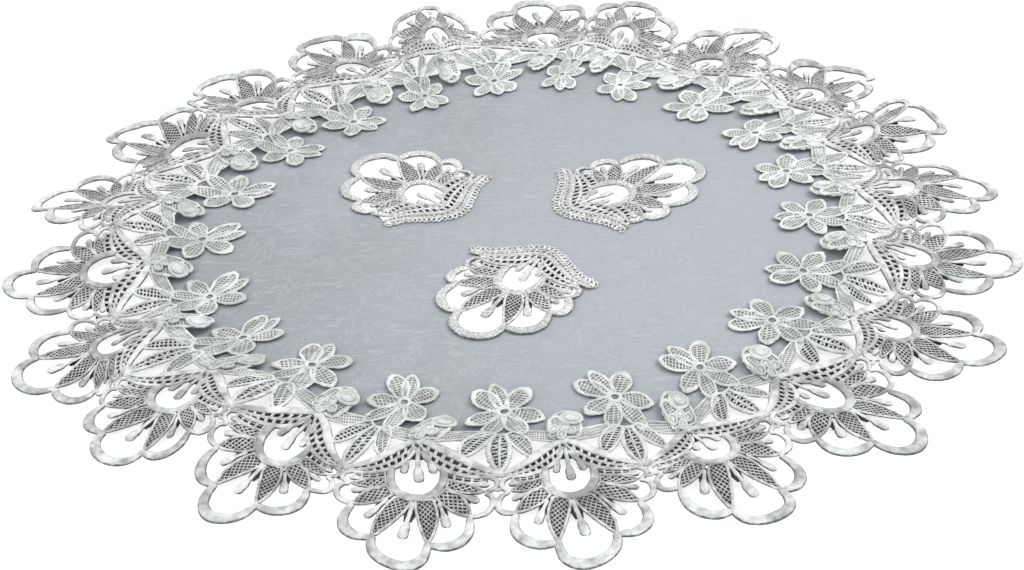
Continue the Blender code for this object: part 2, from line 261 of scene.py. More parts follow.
class Lace:
    """Stitched shapes drawn flat: x and y in millimetres, h over the lace's middle."""

    def __init__(self):
        self.points, self.stitch, self.faces, self.slots, self.sway = [], [], [], [], []
        self.count = 0
        self.raise_by = None  # height added to each point, a function of x and y
        self.group, self.weight = -1, None  # a part that lies differently each time
        self.firm = False  # bands stitched too hard to be squeezed by the lie of the lace
        self.rng = np.random.default_rng(7)

    def add(self, points, stitch, faces, slot, inward=None):
        """inward: from each point to the middle line of its firm band, if it is in one."""
        points = np.asarray(points, float)
        if self.raise_by is not None:
            points = points.copy()
            points[:, 2] += self.raise_by(points[:, 0], points[:, 1])
        sway = np.zeros((len(points), 4))
        sway[:, 0] = self.group
        if inward is not None:
            sway[:, 2:] = inward
        if self.group >= 0:
            sway[:, 1] = self.weight(points[:, 0], points[:, 1])
        self.points.append(points)
        self.stitch.append(np.asarray(stitch, float))
        self.sway.append(sway)
        self.faces += [tuple(self.count + k for k in face) for face in faces]
        self.slots += [slot] * len(faces)
        self.count += len(points)

    def sweep(self, path, half, rise, section, slot, base=0.0, closed=False, rounded=(True, True)):
        """A band, cord or thread: a cross-section carried along a path."""
        path = np.asarray(path, float)[:, :2]
        n, m = len(path), len(section)
        half = np.broadcast_to(np.asarray(half, float), (n,)).copy()
        rise = np.broadcast_to(np.asarray(rise, float), (n,)).copy()
        base = np.broadcast_to(np.asarray(base, float), (n,))
        if closed:
            ahead = np.roll(path, -1, axis=0) - np.roll(path, 1, axis=0)
        else:
            ahead = np.gradient(path, axis=0)
        ahead /= np.maximum(np.linalg.norm(ahead, axis=1), 1e-9)[:, None]
        left = np.column_stack([-ahead[:, 1], ahead[:, 0]])
        steps = np.linalg.norm(np.diff(path, axis=0), axis=1)
        along = np.concatenate([[0], np.cumsum(steps)])
        if not closed:
            for end, wanted in enumerate(rounded):
                if wanted:
                    reach = along if end == 0 else along[-1] - along
                    near = np.clip(reach / np.maximum(half, 1e-6), 0, 1)
                    shape = np.sqrt(np.maximum(1 - (1 - near) ** 2, 0.012))
                    half *= shape
                    rise *= 0.35 + 0.65 * shape
        spread = path[:, None, :] + left[:, None, :] * (half[:, None] * section[None, :, 0])[..., None]
        height = base[:, None] + rise[:, None] * section[None, :, 1]
        points = np.concatenate([spread, height[..., None]], axis=2).reshape(-1, 3)
        across = np.broadcast_to(section[None, :, 0], (n, m))
        mark = self.rng.random()
        stitch = np.stack(
            [np.broadcast_to(along[:, None], (n, m)), across, np.full((n, m), mark)], axis=2
        ).reshape(-1, 3)
        faces = []
        for i in range(n if closed else n - 1):
            k = (i + 1) % n
            for j in range(m):
                l = (j + 1) % m
                faces.append((i * m + j, k * m + j, k * m + l, i * m + l))
        if not closed:
            faces.append(tuple(range(m)))
            faces.append(tuple((n - 1) * m + j for j in reversed(range(m))))
        inward = (path[:, None, :] - spread).reshape(-1, 2) if self.firm else None
        self.add(points, stitch, faces, slot, inward)

    def band(self, table, rise=1.0, slot=SATIN, base=-0.1, step=0.7, frayed=0.03, rounded=(True, True)):
        """A padded satin band. Rows of the table: x, y, width."""
        line = smoothed(table, step)
        half = line[:, 2] / 2 + self.rng.normal(0, frayed, len(line))
        uneven = rise * (1 + self.rng.normal(0, 0.03, len(line)))
        self.sweep(line, np.maximum(half, 0.2), uneven, PADDED, slot, base, rounded=rounded)

    def cord(self, table, width=0.9, rise=0.6, slot=THREAD, base=0.0, step=0.9, closed=False, frayed=0.04):
        line = smoothed(table, step, closed)
        half = width / 2 + self.rng.normal(0, frayed, len(line))
        self.sweep(line, half, rise, CORD, slot, base, closed, rounded=(False, False))

    def club(self, start, end, width, rise=0.85, slot=SATIN, bend=0.0, base=0.05, stem=0.46):
        """A pistil: an even stem that swells to a round knob."""
        start, end = np.array(start, float), np.array(end, float)
        length = np.linalg.norm(end - start)
        side = np.array((-(end - start)[1], (end - start)[0])) / length
        t = np.linspace(0, 1, max(8, int(length / 0.6)))
        path = start + t[:, None] * (end - start) + side * (bend * np.sin(np.pi * t))[:, None]
        swell = stem + (1 - stem) * smooth_step((t - 1 + 2.3 * width / length) / (1.1 * width / length))
        half = width / 2 * swell + self.rng.normal(0, 0.05, len(t))
        self.sweep(path, half, rise * (0.6 + 0.4 * swell), PADDED, slot, base)

    def bead(self, x, y, r, rise, slot=THREAD, base=0.0):
        """A small round knot."""
        turns = np.arange(6) * math.tau / 6 + self.rng.random()
        rings = [(1.0, -0.3), (0.85, 0.55)]
        points = [(x + r * s * math.cos(t), y + r * s * math.sin(t), base + rise * u) for s, u in rings for t in turns]
        points += [(x, y, base + rise), (x, y, base - 0.4 * rise)]
        faces = [(j, (j + 1) % 6, 6 + (j + 1) % 6, 6 + j) for j in range(6)]
        faces += [(6 + j, 6 + (j + 1) % 6, 12) for j in range(6)]
        faces += [((j + 1) % 6, j, 13) for j in range(6)]
        self.add(points, np.full((14, 3), 0.5), faces, slot)

    def slab(self, outline, low, high, slot):
        """A thin flat patch, which all its edge can be seen from its middle."""
        outline = np.asarray(outline, float)[:, :2]
        n = len(outline)
        x, y = outline.T
        if np.sum(x * np.roll(y, -1) - y * np.roll(x, -1)) < 0:
            outline = outline[::-1]
        middle = outline.mean(axis=0)
        points = np.vstack(
            [
                np.column_stack([outline, np.full(n, high)]),
                np.column_stack([outline, np.full(n, low)]),
                [(*middle, high), (*middle, low)],
            ]
        )
        faces = []
        for j in range(n):
            k = (j + 1) % n
            faces += [(j, k, 2 * n), (n + k, n + j, 2 * n + 1), (j, n + j, n + k, k)]
        self.add(points, np.full((len(points), 3), 0.5), faces, slot)

    def strip(self, one, other, low, high, slot):
        """A thin patch between two edges that run side by side."""
        one, other = np.asarray(one)[:, :2], np.asarray(other)[:, :2]
        n = len(one)
        flat = np.vstack([one, other])
        a, b, c = one[0], one[-1], other[n // 2]
        if (b - a)[0] * (c - a)[1] - (b - a)[1] * (c - a)[0] < 0:
            flat = np.vstack([other, one])
        points = np.vstack(
            [np.column_stack([flat, np.full(2 * n, high)]), np.column_stack([flat, np.full(2 * n, low)])]
        )
        faces = []
        for j in range(n - 1):
            faces += [
                (j, j + 1, n + j + 1, n + j),
                (3 * n + j, 3 * n + j + 1, 2 * n + j + 1, 2 * n + j),
                (j + 1, j, 2 * n + j, 2 * n + j + 1),
                (n + j, n + j + 1, 3 * n + j + 1, 3 * n + j),
            ]
        faces += [(0, n, 3 * n, 2 * n), (2 * n - 1, n - 1, 3 * n - 1, 4 * n - 1)]
        self.add(points, np.full((len(points), 3), 0.5), faces, slot)

    def dome(self, x, y, across, along, turn, rise, slot=BLOOM, base=-0.1):
        """A round or oval cushion of close stitches."""
        rings, spokes = 5, 18
        a = math.radians(turn)
        turns = np.linspace(0, math.tau, spokes + 1)[:-1]
        points, stitch = [], []
        for k in range(rings):
            share = math.cos(math.pi / 2 * k / rings)
            height = base + rise * math.sin(math.pi / 2 * (k + 0.15) / rings)
            for t in turns:
                wobble = 1 + self.rng.normal(0, 0.02)
                u, v = across * share * wobble * math.cos(t), along * share * wobble * math.sin(t)
                points.append((x + u * math.cos(a) - v * math.sin(a), y + u * math.sin(a) + v * math.cos(a), height))
                stitch.append((v, 0.0 if k else 0.9, 0.5))
        n = len(points)
        points += [(x, y, base + rise), (x, y, base - 0.1)]
        stitch += [(0.0, 0.0, 0.5)] * 2
        faces = []
        for k in range(rings - 1):
            for j in range(spokes):
                l = (j + 1) % spokes
                faces.append((k * spokes + j, k * spokes + l, (k + 1) * spokes + l, (k + 1) * spokes + j))
        last = (rings - 1) * spokes
        for j in range(spokes):
            l = (j + 1) % spokes
            faces += [(last + j, last + l, n), (l, j, n + 1)]
        self.add(points, stitch, faces, slot)

    def net(self, outline, axis, families, rise=0.36, slot=THREAD, base=-0.15, step=2.4):
        """Sets of threads that fill an outline: lean from the axis, spacing and width."""
        outline = np.asarray(outline, float)[:, :2]
        ends = np.roll(outline, -1, axis=0)
        for k, (lean, spacing, width) in enumerate(families):
            a = math.radians(axis + lean)
            run, over = np.array((math.cos(a), math.sin(a))), np.array((-math.sin(a), math.cos(a)))
            first, last = outline @ over, ends @ over
            low, high = first.min(), first.max()
            lines = max(1, int(round((high - low) / spacing)))
            for c in low + (np.arange(lines) + 0.5) * (high - low) / lines:
                c += self.rng.normal(0, 0.05)
                crossed = (first - c) * (last - c) < 0
                if crossed.sum() < 2:
                    continue
                t = (c - first[crossed]) / (last[crossed] - first[crossed])
                hits = outline[crossed] + t[:, None] * (ends[crossed] - outline[crossed])
                reach = np.sort(hits @ run)
                for start, end in zip(reach[::2], reach[1::2]):
                    if end - start < 0.9:
                        continue
                    at = np.linspace(start, end, max(2, int(round((end - start) / step)) + 1))
                    path = at[:, None] * run + c * over
                    half = width / 2 * (1 + self.rng.normal(0, 0.08, len(path)))
                    self.sweep(path, half, rise, TWIST, slot, base + 0.16 * k, rounded=(False, False))

    def gather(self):
        points = np.vstack(self.points)
        return points, np.vstack(self.stitch), self.faces, self.slots, np.vstack(self.sway)


def leaf(base, tip, width, foot=0.2, power=0.7, full=1.0, bend=0.0, steps=13):
    """A closed leaf or petal outline from its base to its tip, anticlockwise.

    power: small for a round end, large for a pointed one; full: over 1 puts the widest
    place nearer the tip; foot: how far the base is from a point.
    """
    base, tip = np.array(base, float), np.array(tip, float)
    axis = tip - base
    length = np.linalg.norm(axis)
    side = np.array((-axis[1], axis[0])) / length
    t = (1 - np.cos(np.linspace(0, math.pi, steps))) / 2
    u = foot + (1 - foot) * t**full
    half = width / 2 * np.maximum(np.sin(np.pi * u), 0) ** power
    middle = base + t[:, None] * axis + side * (bend * np.sin(np.pi * t))[:, None]
    right = middle - side * half[:, None]
    left = middle + side * half[:, None]
    return np.vstack([right, left[:-1][::-1]])


def heading(base, tip):
    return math.degrees(math.atan2(tip[1] - base[1], tip[0] - base[0]))


DIAMONDS = ((39, 1.66, 0.54), (-39, 1.66, 0.54))
CLOSE_DIAMONDS = ((39, 1.62, 0.72), (-39, 1.62, 0.72))
ROWS = ((0, 1.9, 0.9), (76, 1.6, 0.86))


def framed(
    lace, base, tip, width, rim=1.3, families=DIAMONDS, ground=DARK_SHADE, slots=(SATIN, THREAD), swell=0.0,
    lean=0.0, vein=0.0, rise=0.7, foot=0.2, power=0.7, full=1.1, bend=0.0, up=0.0,
):
    """A leaf or petal: a satin rim round a net. The rim can swell to a solid end, which
    leans to one side of the tip."""
    base, tip = np.array(base, float), np.array(tip, float)
    run = (tip - base) / np.linalg.norm(tip - base)
    side = np.array((-run[1], run[0]))
    shape = {"foot": foot, "power": power, "full": full, "bend": bend}
    edge = leaf(base + run * 0.3 * rim, tip - run * 0.5 * rim, width - rim, **shape)
    inner = leaf(base + run * 0.5 * rim, tip - run * 0.8 * rim, width - 1.5 * rim, **shape)
    # Under the net lies a sheet of painted shade
    lace.slab(edge, up - 0.62, up + (-0.5 if ground == DARK_SHADE else -0.25), ground)
    lace.net(inner, heading(base, tip), families, slot=slots[1], base=up - 0.15)
    if vein:
        t = np.linspace(0.06, 0.9, 7)
        spine = base + t[:, None] * (tip - base) + side * (bend * np.sin(np.pi * t))[:, None]
        lace.sweep(spine, vein / 2, 0.5, CORD, slots[1], 0.05, rounded=(False, False))
    line = smoothed(edge, 0.8, closed=True)
    ragged = 0.12 if slots[0] == BLOOM else 0.05
    line = line + lace.rng.normal(0, ragged, line.shape)
    half = rim / 2 + lace.rng.normal(0, ragged, len(line))
    if swell:
        corner = tip + side * lean * width
        near = np.exp(-((np.linalg.norm(line - corner, axis=1) / (0.42 * width)) ** 2))
        inward = 0.5 * (base + tip) - line
        inward /= np.linalg.norm(inward, axis=1)[:, None]
        line = line + inward * (0.42 * swell * near)[:, None]
        half = half + 0.5 * swell * near
    uneven = rise * (1 + lace.rng.normal(0, 0.09, len(line)))
    lace.sweep(line, half, uneven, RIM, slots[0], up, closed=True)


# ----------------------------------------------------------------------- the shell motif
# Half of it, x >= 0. Rows: x, y, width.

WING_BAND = (
    (0.2, 180.6, 3.2),
    (4.0, 182.0, 4.0),
    (8.4, 184.6, 4.5),
    (14.2, 188.4, 4.4),
    (20.5, 191.7, 3.7),
    (26.5, 193.8, 2.7),
    (30.6, 194.6, 1.8),
)
GABLE_BAND = (  # both wings of an inset in one
    (32.6, 194.4, 1.3),
    (26.8, 193.7, 2.1),
    (20.5, 191.8, 2.6),
    (14.2, 188.2, 2.9),
    (8.4, 184.4, 2.9),
    (4.0, 181.7, 2.9),
    (0.0, 180.6, 2.9),
)
INSET_INNER = (  # the band under an inset's ladders
    (0.8, 186.6, 1.2),
    (3.4, 190.6, 1.6),
    (6.9, 193.8, 2.1),
    (11.2, 195.7, 2.1),
    (16.2, 196.8, 1.9),
    (21.5, 197.0, 1.7),
    (27.6, 196.4, 1.2),
)
INSET_LOW_LOOP = (
    (25.6, 204.0, 2.4),
    (28.6, 205.4, 3.8),
    (29.8, 209.6, 4.6),
    (28.0, 213.8, 4.2),
    (23.0, 216.0, 2.8),
)
INNER_BAND = (
    (0.8, 186.2, 1.4),
    (3.4, 190.4, 2.0),
    (6.9, 193.7, 2.3),
    (11.2, 195.8, 2.3),
    (16.2, 196.9, 2.2),
    (21.5, 197.1, 1.9),
    (27.6, 196.2, 1.3),
)
DASH_BAND = (
    (9.6, 199.3, 1.1),
    (15.0, 200.3, 1.3),
    (20.5, 200.2, 1.2),
    (25.2, 198.8, 1.0),
)
DASH_TOP = ((9.8, 196.4), (15.0, 197.8), (20.5, 198.1), (25.2, 197.3))
CUP_BAND = (  # a whole U, both sides
    (9.4, 193.8, 2.9),
    (9.9, 198.2, 3.2),
    (9.2, 203.4, 3.5),
    (6.0, 208.4, 3.8),
    (0.0, 210.6, 4.0),
)
MIDDLE_LOOP = (
    (11.0, 232.6, 2.8),
    (10.9, 237.2, 3.8),
    (9.2, 241.6, 4.6),
    (5.2, 244.8, 5.0),
    (0.0, 246.0, 5.1),
)
SIDE_LOOP = (
    (23.2, 215.8, 2.6),
    (24.7, 220.4, 3.6),
    (24.8, 225.6, 4.4),
    (22.4, 230.4, 4.9),
    (17.6, 233.6, 4.6),
    (11.4, 233.9, 3.2),
)
LOW_LOOP = (
    (25.6, 204.0, 1.8),
    (29.0, 205.6, 2.4),
    (30.5, 209.6, 2.8),
    (28.6, 213.8, 2.8),
    (23.0, 216.0, 2.4),
)
END_LOOP = (
    (25.4, 196.6, 1.5),
    (28.4, 197.6, 2.2),
    (29.0, 201.0, 2.2),
    (25.6, 204.0, 1.9),
)
LEAF_COLUMNS = ("base", "tip", "width", "rim", "bend", "foot", "full", "families")
LEAVES = (
    ((3.7, 210.8), (11.3, 233.6), 9.4, 1.35, -0.9, 0.24, 0.8, DIAMONDS),
    ((9.4, 206.4), (23.8, 215.8), 8.8, 1.25, -0.3, 0.2, 0.92, CLOSE_DIAMONDS),
    ((11.2, 202.0), (25.6, 203.6), 5.8, 1.1, 0.2, 0.24, 0.95, CLOSE_DIAMONDS),
)
SHADE = (  # sheets of painted shade in the close dark gaps between stems
    ((0.0, 183.4), (2.0, 185.6), (3.9, 188.6), (2.2, 190.2), (0.0, 190.4), (-2.2, 190.2), (-3.9, 188.6), (-2.0, 185.6)),
    ((-3.3, 211.8), (3.3, 211.8), (2.9, 216.6), (1.6, 222.6), (-1.6, 222.6), (-2.9, 216.6)),
)
SIDE_SHADE = (
    ((7.4, 211.0), (10.4, 209.2), (13.6, 213.0), (15.0, 216.4), (12.6, 218.4), (10.6, 217.4), (8.6, 214.0)),
    ((10.8, 204.6), (12.6, 203.6), (20.4, 204.6), (23.4, 205.6), (21.2, 209.4), (17.2, 208.0), (11.6, 206.6)),
)
CLUB_COLUMNS = ("start", "end", "width", "bend")
CLUBS = (
    ((0.1, 184.6), (1.2, 202.4), 3.9, 0.3),
    ((-1.7, 186.0), (-5.0, 198.0), 3.2, 0.5),
    ((2.1, 186.0), (6.2, 197.4), 3.1, -0.5),
    ((0.0, 212.4), (0.2, 232.8), 4.4, 0.0),
)
SIDE_CLUBS = (
    ((9.8, 211.4), (16.6, 223.2), 3.8, -0.2),
    ((13.0, 205.4), (25.0, 208.4), 3.0, -0.2),
    ((20.6, 200.9), (26.4, 200.2), 2.3, 0.0),
)
# Groups that lie a little differently in every repeat
G_PETAL, G_BUD = 0, 7
GROUPS = 8


def both(table):
    return (np.array(table, float), mirror(table))


def whole(half):
    """A table for the whole curve from the half that ends on the axis."""
    half = np.array(half, float)
    return np.vstack([half, mirror(half)[1:]])


def offset(rows, share, outward):
    """A table's centre line moved by a share of its widths, towards larger y or smaller."""
    rows = np.array(rows, float)
    ahead = np.gradient(rows[:, :2], axis=0)
    ahead /= np.linalg.norm(ahead, axis=1)[:, None]
    left = np.column_stack([-ahead[:, 1], ahead[:, 0]])
    left *= np.where(left[:, 1:2] >= 0, 1.0, -1.0)
    return rows[:, :2] + left * (outward * share * rows[:, 2:3])


def along_line(line, shares):
    reach = np.concatenate([[0], np.cumsum(np.linalg.norm(np.diff(line, axis=0), axis=1))])
    return np.column_stack([np.interp(shares * reach[-1], reach, line[:, k]) for k in range(2)])


def ladder(lace, outer, inner, pitch, bar, rows=2):
    """Rows of small holes between two bands. Two rows stand like the squares of a
    draughtboard, each hole beside a knot of the other row."""
    outer, inner = smoothed(outer, 0.8)[:, :2], smoothed(inner, 0.8)[:, :2]
    t = np.linspace(0, 1, 30)
    top, low = along_line(outer, t), along_line(inner, t)
    # A dark sheet of painted shade under the holes
    lace.strip(top, low, -0.62, -0.5, DARK_SHADE)
    middle = 0.5 * (top + low)
    reach = np.concatenate([[0], np.cumsum(np.linalg.norm(np.diff(middle, axis=0), axis=1))])
    gap = np.linalg.norm(top - low, axis=1)
    cells = int(round(reach[-1] / pitch))
    for c in range(cells + 1):
        for row in range(rows):
            s = (c + 0.25 + 0.5 * row) / cells
            width = np.interp(s, t, gap)
            if not 0.015 < s < 0.985 or width < 0.9:
                continue
            here = np.array([s])
            side = along_line(outer if row == 0 else inner, here)[0]
            far = along_line(inner, here)[0] if rows == 1 else along_line(middle, here)[0]
            path = side + np.linspace(0, 1, 4)[:, None] * (far - side)
            half = bar / 2 * (1 + lace.rng.normal(0, 0.08, 4)) * np.array((1.15, 1.0, 1.0, 1.1))
            lace.sweep(path, half, 0.62, CORD, THREAD, 0.0, rounded=(False, False))
            if rows == 2 and width > 2.6:
                lace.bead(*(0.25 * side + 0.75 * far), 0.62 * bar, 0.95)
    if rows == 2:
        keep = (t > 0.02) & (t < 0.985)
        wave = 0.25 * np.sin(reach / pitch * math.tau)
        ahead = np.gradient(middle, axis=0)
        ahead /= np.linalg.norm(ahead, axis=1)[:, None]
        line = middle + np.column_stack([-ahead[:, 1], ahead[:, 0]]) * wave[:, None]
        lace.sweep(line[keep], 0.72, 0.62, CORD, THREAD, 0.05, rounded=(False, False))


def draw_shell(lace, let_in=False):
    """The shell; let_in is the kind set into the linen, whose wings are one rounded band."""
    # Dark sheets of painted shade in the close gaps between stems
    for shape in SHADE:
        lace.slab(shape, -0.62, -0.5, DARK_SHADE)
    for shape in SIDE_SHADE:
        for flat in both(shape):
            lace.slab(flat, -0.62, -0.5, DARK_SHADE)
    for base, tip, width, rim, bend, foot, full, families in LEAVES:
        for sign in (1, -1):
            framed(
                lace, (base[0] * sign, base[1]), (tip[0] * sign, tip[1]), width, rim, families,
                bend=bend * sign, power=0.7, foot=foot, full=full,
            )
    upper = np.array(GABLE_BAND)[::-1] if let_in else WING_BAND
    under = INSET_INNER if let_in else INNER_BAND
    for wing, inner, dash in zip(both(upper), both(under), both(DASH_BAND)):
        near = np.abs(wing[:, 0]) < 31
        ladder(lace, offset(wing[near], 0.42, 1), offset(inner, 0.38, -1), pitch=3.3, bar=1.3)
        top = np.array(DASH_TOP) * (np.sign(dash[1, 0]), 1)
        top = top if dash[1, 0] > 0 else top[::-1]
        ladder(lace, top, offset(dash, 0.35, -1), pitch=2.9, bar=1.1, rows=1)
        lace.band(dash, rise=0.6, base=0.0)
        lace.band(inner, rise=0.75, base=0.0)
        if not let_in:
            lace.band(wing, rise=0.95, base=0.0)
    if let_in:
        lace.band(whole(GABLE_BAND), rise=0.8, base=0.0)
    lace.firm = True
    for shape in (END_LOOP, INSET_LOW_LOOP if let_in else LOW_LOOP):
        for rows in both(shape):
            lace.band(rows, rise=0.7, base=0.0)
    for rows in both(SIDE_LOOP):
        lace.band(rows, rise=0.9)
    lace.band(whole(MIDDLE_LOOP), rise=0.95)
    lace.firm = False
    for start, end, width, bend in CLUBS[:3]:
        lace.club(start, end, width, bend=bend, base=0.1)
    lace.firm = True
    lace.band(whole(CUP_BAND), rise=0.95, base=0.1)
    lace.firm = False
    start, end, width, bend = CLUBS[3]
    lace.club(start, end, width, bend=bend, base=0.1)
    for start, end, width, bend in SIDE_CLUBS:
        for sign in (1, -1):
            lace.club((start[0] * sign, start[1]), (end[0] * sign, end[1]), width, bend=bend * sign)
    if let_in:
        return
    # Bars that tie one shell to the next
    for rows in both(((28.6, 201.6), (30.0, 202.2), (31.4, 202.0))):
        lace.cord(rows, width=1.7, rise=0.6)


def draw_picots(lace):
    """The close threads over a grey sheet of painted shade, and the looped edge, above an inset's wings."""
    rows = smoothed(whole(GABLE_BAND), 1.2)
    edge = offset(rows, 0.46, -1)
    away = edge - rows[:, :2]
    away /= np.linalg.norm(away, axis=1)[:, None]
    tall = 3.0 - 1.4 * np.abs(rows[:, :1] / 32.0) ** 2
    rim = edge + away * tall
    # A grey sheet of painted shade under the picot threads
    lace.strip(edge, rim, -0.5, -0.3, GREY_SHADE)
    lace.cord((edge + (rim - edge) * 0.5)[::2], width=0.8, rise=0.5, slot=BLOOM, frayed=0.12)
    for k in range(0, len(edge) - 3, 1):
        lean = 2 if k % 2 else -1
        path = np.linspace(edge[k], rim[min(max(k + lean, 0), len(rim) - 1)], 4)
        lace.sweep(path, 0.3 + 0.08 * lace.rng.random(), 0.55, TWIST, BLOOM, 0.1, rounded=(False, False))
    lace.cord(rim, width=0.9, rise=0.65, slot=BLOOM, frayed=0.1)
    line = smoothed(rim + away * 1.4, 2.6)
    ahead = np.gradient(line, axis=0)
    ahead /= np.linalg.norm(ahead, axis=1)[:, None]
    out = np.column_stack([-ahead[:, 1], ahead[:, 0]])
    out *= -np.where(out[:, 1:2] >= 0, 1.0, -1.0)
    turns = np.linspace(0, math.tau, 9)[:-1]
    for p, o, a in zip(line, out, ahead):
        swing = lace.rng.normal(0, 0.35)
        long = 1.7 + lace.rng.normal(0, 0.2)
        ring = p + np.outer(np.cos(turns), o + swing * a) * long + np.outer(np.sin(turns), a) * 1.0
        lace.cord(ring, width=0.66, rise=0.5, slot=BLOOM, closed=True, step=1.0)


# ----------------------------------------------------- flowers, leaves, garland and buds

PETAL_COLUMNS = ("base", "tip", "width", "full", "power", "swell", "lean")
PETALS = (  # from the flower's centre: x along the ring, y outwards
    ((-0.4, -2.0), (-4.0, -19.2), 8.6, 1.2, 0.66, 0.5, 0.0),
    ((1.3, -2.0), (10.8, -14.6), 10.4, 1.45, 0.7, 2.6, 0.15),
    ((-2.0, -1.8), (-12.6, -15.2), 10.8, 1.45, 0.68, 2.2, -0.35),
    ((2.0, 0.2), (16.6, 8.0), 11.2, 1.25, 0.8, 1.2, 0.2),
    ((-2.0, 0.2), (-14.8, 8.0), 10.2, 1.35, 0.75, 2.6, -0.2),
    ((0.9, 2.0), (8.6, 21.6), 9.4, 1.3, 0.6, 0.5, 0.0),
    ((-0.9, 2.0), (-6.4, 20.8), 8.4, 1.3, 0.6, 0.6, 0.2),
)


def draw_flower(lace):
    centre = np.array((0.0, FLOWER_R))
    for k in (5, 6, 3, 4, 1, 2, 0):
        base, tip, width, full, power, swell, lean = PETALS[k]
        lace.group = G_PETAL + k
        lace.weight = lambda x, y: (
            np.clip((np.hypot(x - centre[0], y - centre[1]) - 5) / 12.0, 0, 1.2) ** 1.6
        )
        framed(
            lace, centre + base, centre + tip, width, rim=1.5, families=ROWS, ground=GREY_SHADE,
            slots=(BLOOM, BLOOM), swell=0.85 * swell, lean=lean, rise=0.54, foot=0.12, power=power,
            full=full,
        )
    lace.group = -1
    turns = np.linspace(0, math.tau, 13)[:-1]
    ring = centre + np.column_stack([np.cos(turns), np.sin(turns)]) * 2.4
    # A grey sheet of painted shade fills the flower's centre
    lace.slab(ring, -0.4, -0.1, GREY_SHADE)
    lace.sweep(smoothed(ring, 0.8, closed=True), 0.75, 0.55, RIM, BLOOM, 0.2, closed=True)


LEAFLETS = (  # base, tip, width, ground under its net (a sheet of painted shade, darker under the leaflet at negative x)
    ((3.2, 170.4), (13.6, 188.0), 8.4, GREY_SHADE),
    ((-3.2, 170.4), (-13.6, 188.0), 8.4, DARK_SHADE),
)


def draw_leaves(lace):
    # Dark sheets of painted shade beside the centre leaf's foot
    for sign in (1, -1):
        lace.slab(
            ((0.8 * sign, 171), (3.4 * sign, 172.4), (5.6 * sign, 178.6), (4.4 * sign, 180.2)), -0.62, -0.5, DARK_SHADE
        )
    # A grey sheet of painted shade between the lower petals and the leaves
    lace.slab(((-5.5, 163.5), (5.5, 163.5), (5.2, 171.6), (-5.2, 171.6)), -0.6, -0.35, GREY_SHADE)
    for base, tip, width, ground in LEAFLETS:
        framed(
            lace, base, tip, width, rim=1.4, families=((0, 1.9, 0.85), (70, 1.7, 0.8)), ground=ground,
            rise=0.75, foot=0.14, power=0.62, full=1.15, bend=-0.5 * np.sign(tip[0]), slots=(BLOOM, BLOOM),
        )
    framed(
        lace, (0.4, 171.4), (-0.8, 196.4), 10.0, rim=2.0, families=((62, 1.8, 1.0), (-62, 3.6, 0.9)),
        vein=1.2, rise=0.75, foot=0.12, power=0.68, full=1.2, slots=(BLOOM, BLOOM),
    )
    for sign in (1, -1):
        lace.cord(((13.2 * sign, 186.6), (13.8 * sign, 188.2), (14.2 * sign, 189.6)), width=2.0, rise=0.7)
    lace.cord(((0.0, 194.8), (0.0, 196.4), (0.0, 198.0)), width=2.2, rise=0.75, slot=SATIN)


GARLAND = (
    (5.6, 170.8, 5.4),
    (12.0, 172.9, 7.0),
    (18.6, 174.7, 7.2),
    (26.4, 176.8, 6.0),
)


def draw_garland(lace):
    for rows in both(GARLAND):
        top, low = offset(rows, 0.46, -1), offset(rows, 0.46, 1)
        line = smoothed(rows, 2.0)
        outline = np.vstack([offset(line, 0.46, -1), offset(line, 0.46, 1)[::-1]])
        # A grey sheet of painted shade under the garland's net
        lace.slab(outline, -0.55, -0.15, GREY_SHADE)
        lean = heading(rows[0], rows[-1])
        lace.net(outline, lean, ((74, 1.15, 0.85), (-10, 1.7, 0.8)), slot=BLOOM)
        for edge in (top, low):
            lace.cord(edge, width=1.1, rise=0.62, slot=BLOOM, step=0.85, frayed=0.08)


BUD_COLUMNS = ("base", "tip", "width", "full", "power", "bend", "families", "up")
BUD = (
    ((0.4, 179.0), (0.6, 156.8), 14.8, 1.0, 0.46, 0.0, ((8, 1.35, 0.95), (84, 1.45, 0.95)), 0.0),
    ((-3.2, 178.0), (-3.4, 160.6), 8.4, 1.2, 0.5, 1.2, ((0, 1.5, 0.9), (76, 1.5, 0.9)), 0.5),
)
BUD_ROLL = ((3.4, 164.8, 4.2, 4.8, 1.9, 0.6), (3.9, 165.0, 2.0, 2.3, 1.9, 1.0))  # x, y, radii, width, base
BUD_CURLS = (  # closed loops of thread gathered at the foot of the bud
    ((-6.0, 173.0), (-4.2, 170.8), (-2.0, 172.0), (-2.4, 175.0), (-4.6, 176.2)),
    ((-1.2, 171.0), (1.0, 170.2), (2.2, 172.2), (0.8, 174.4), (-1.0, 173.6)),
    ((1.8, 174.0), (4.0, 173.4), (4.8, 175.6), (3.0, 177.4), (1.4, 176.2)),
    ((-2.4, 176.8), (-0.2, 175.2), (1.0, 177.4), (-0.2, 180.0), (-2.2, 179.4)),
)


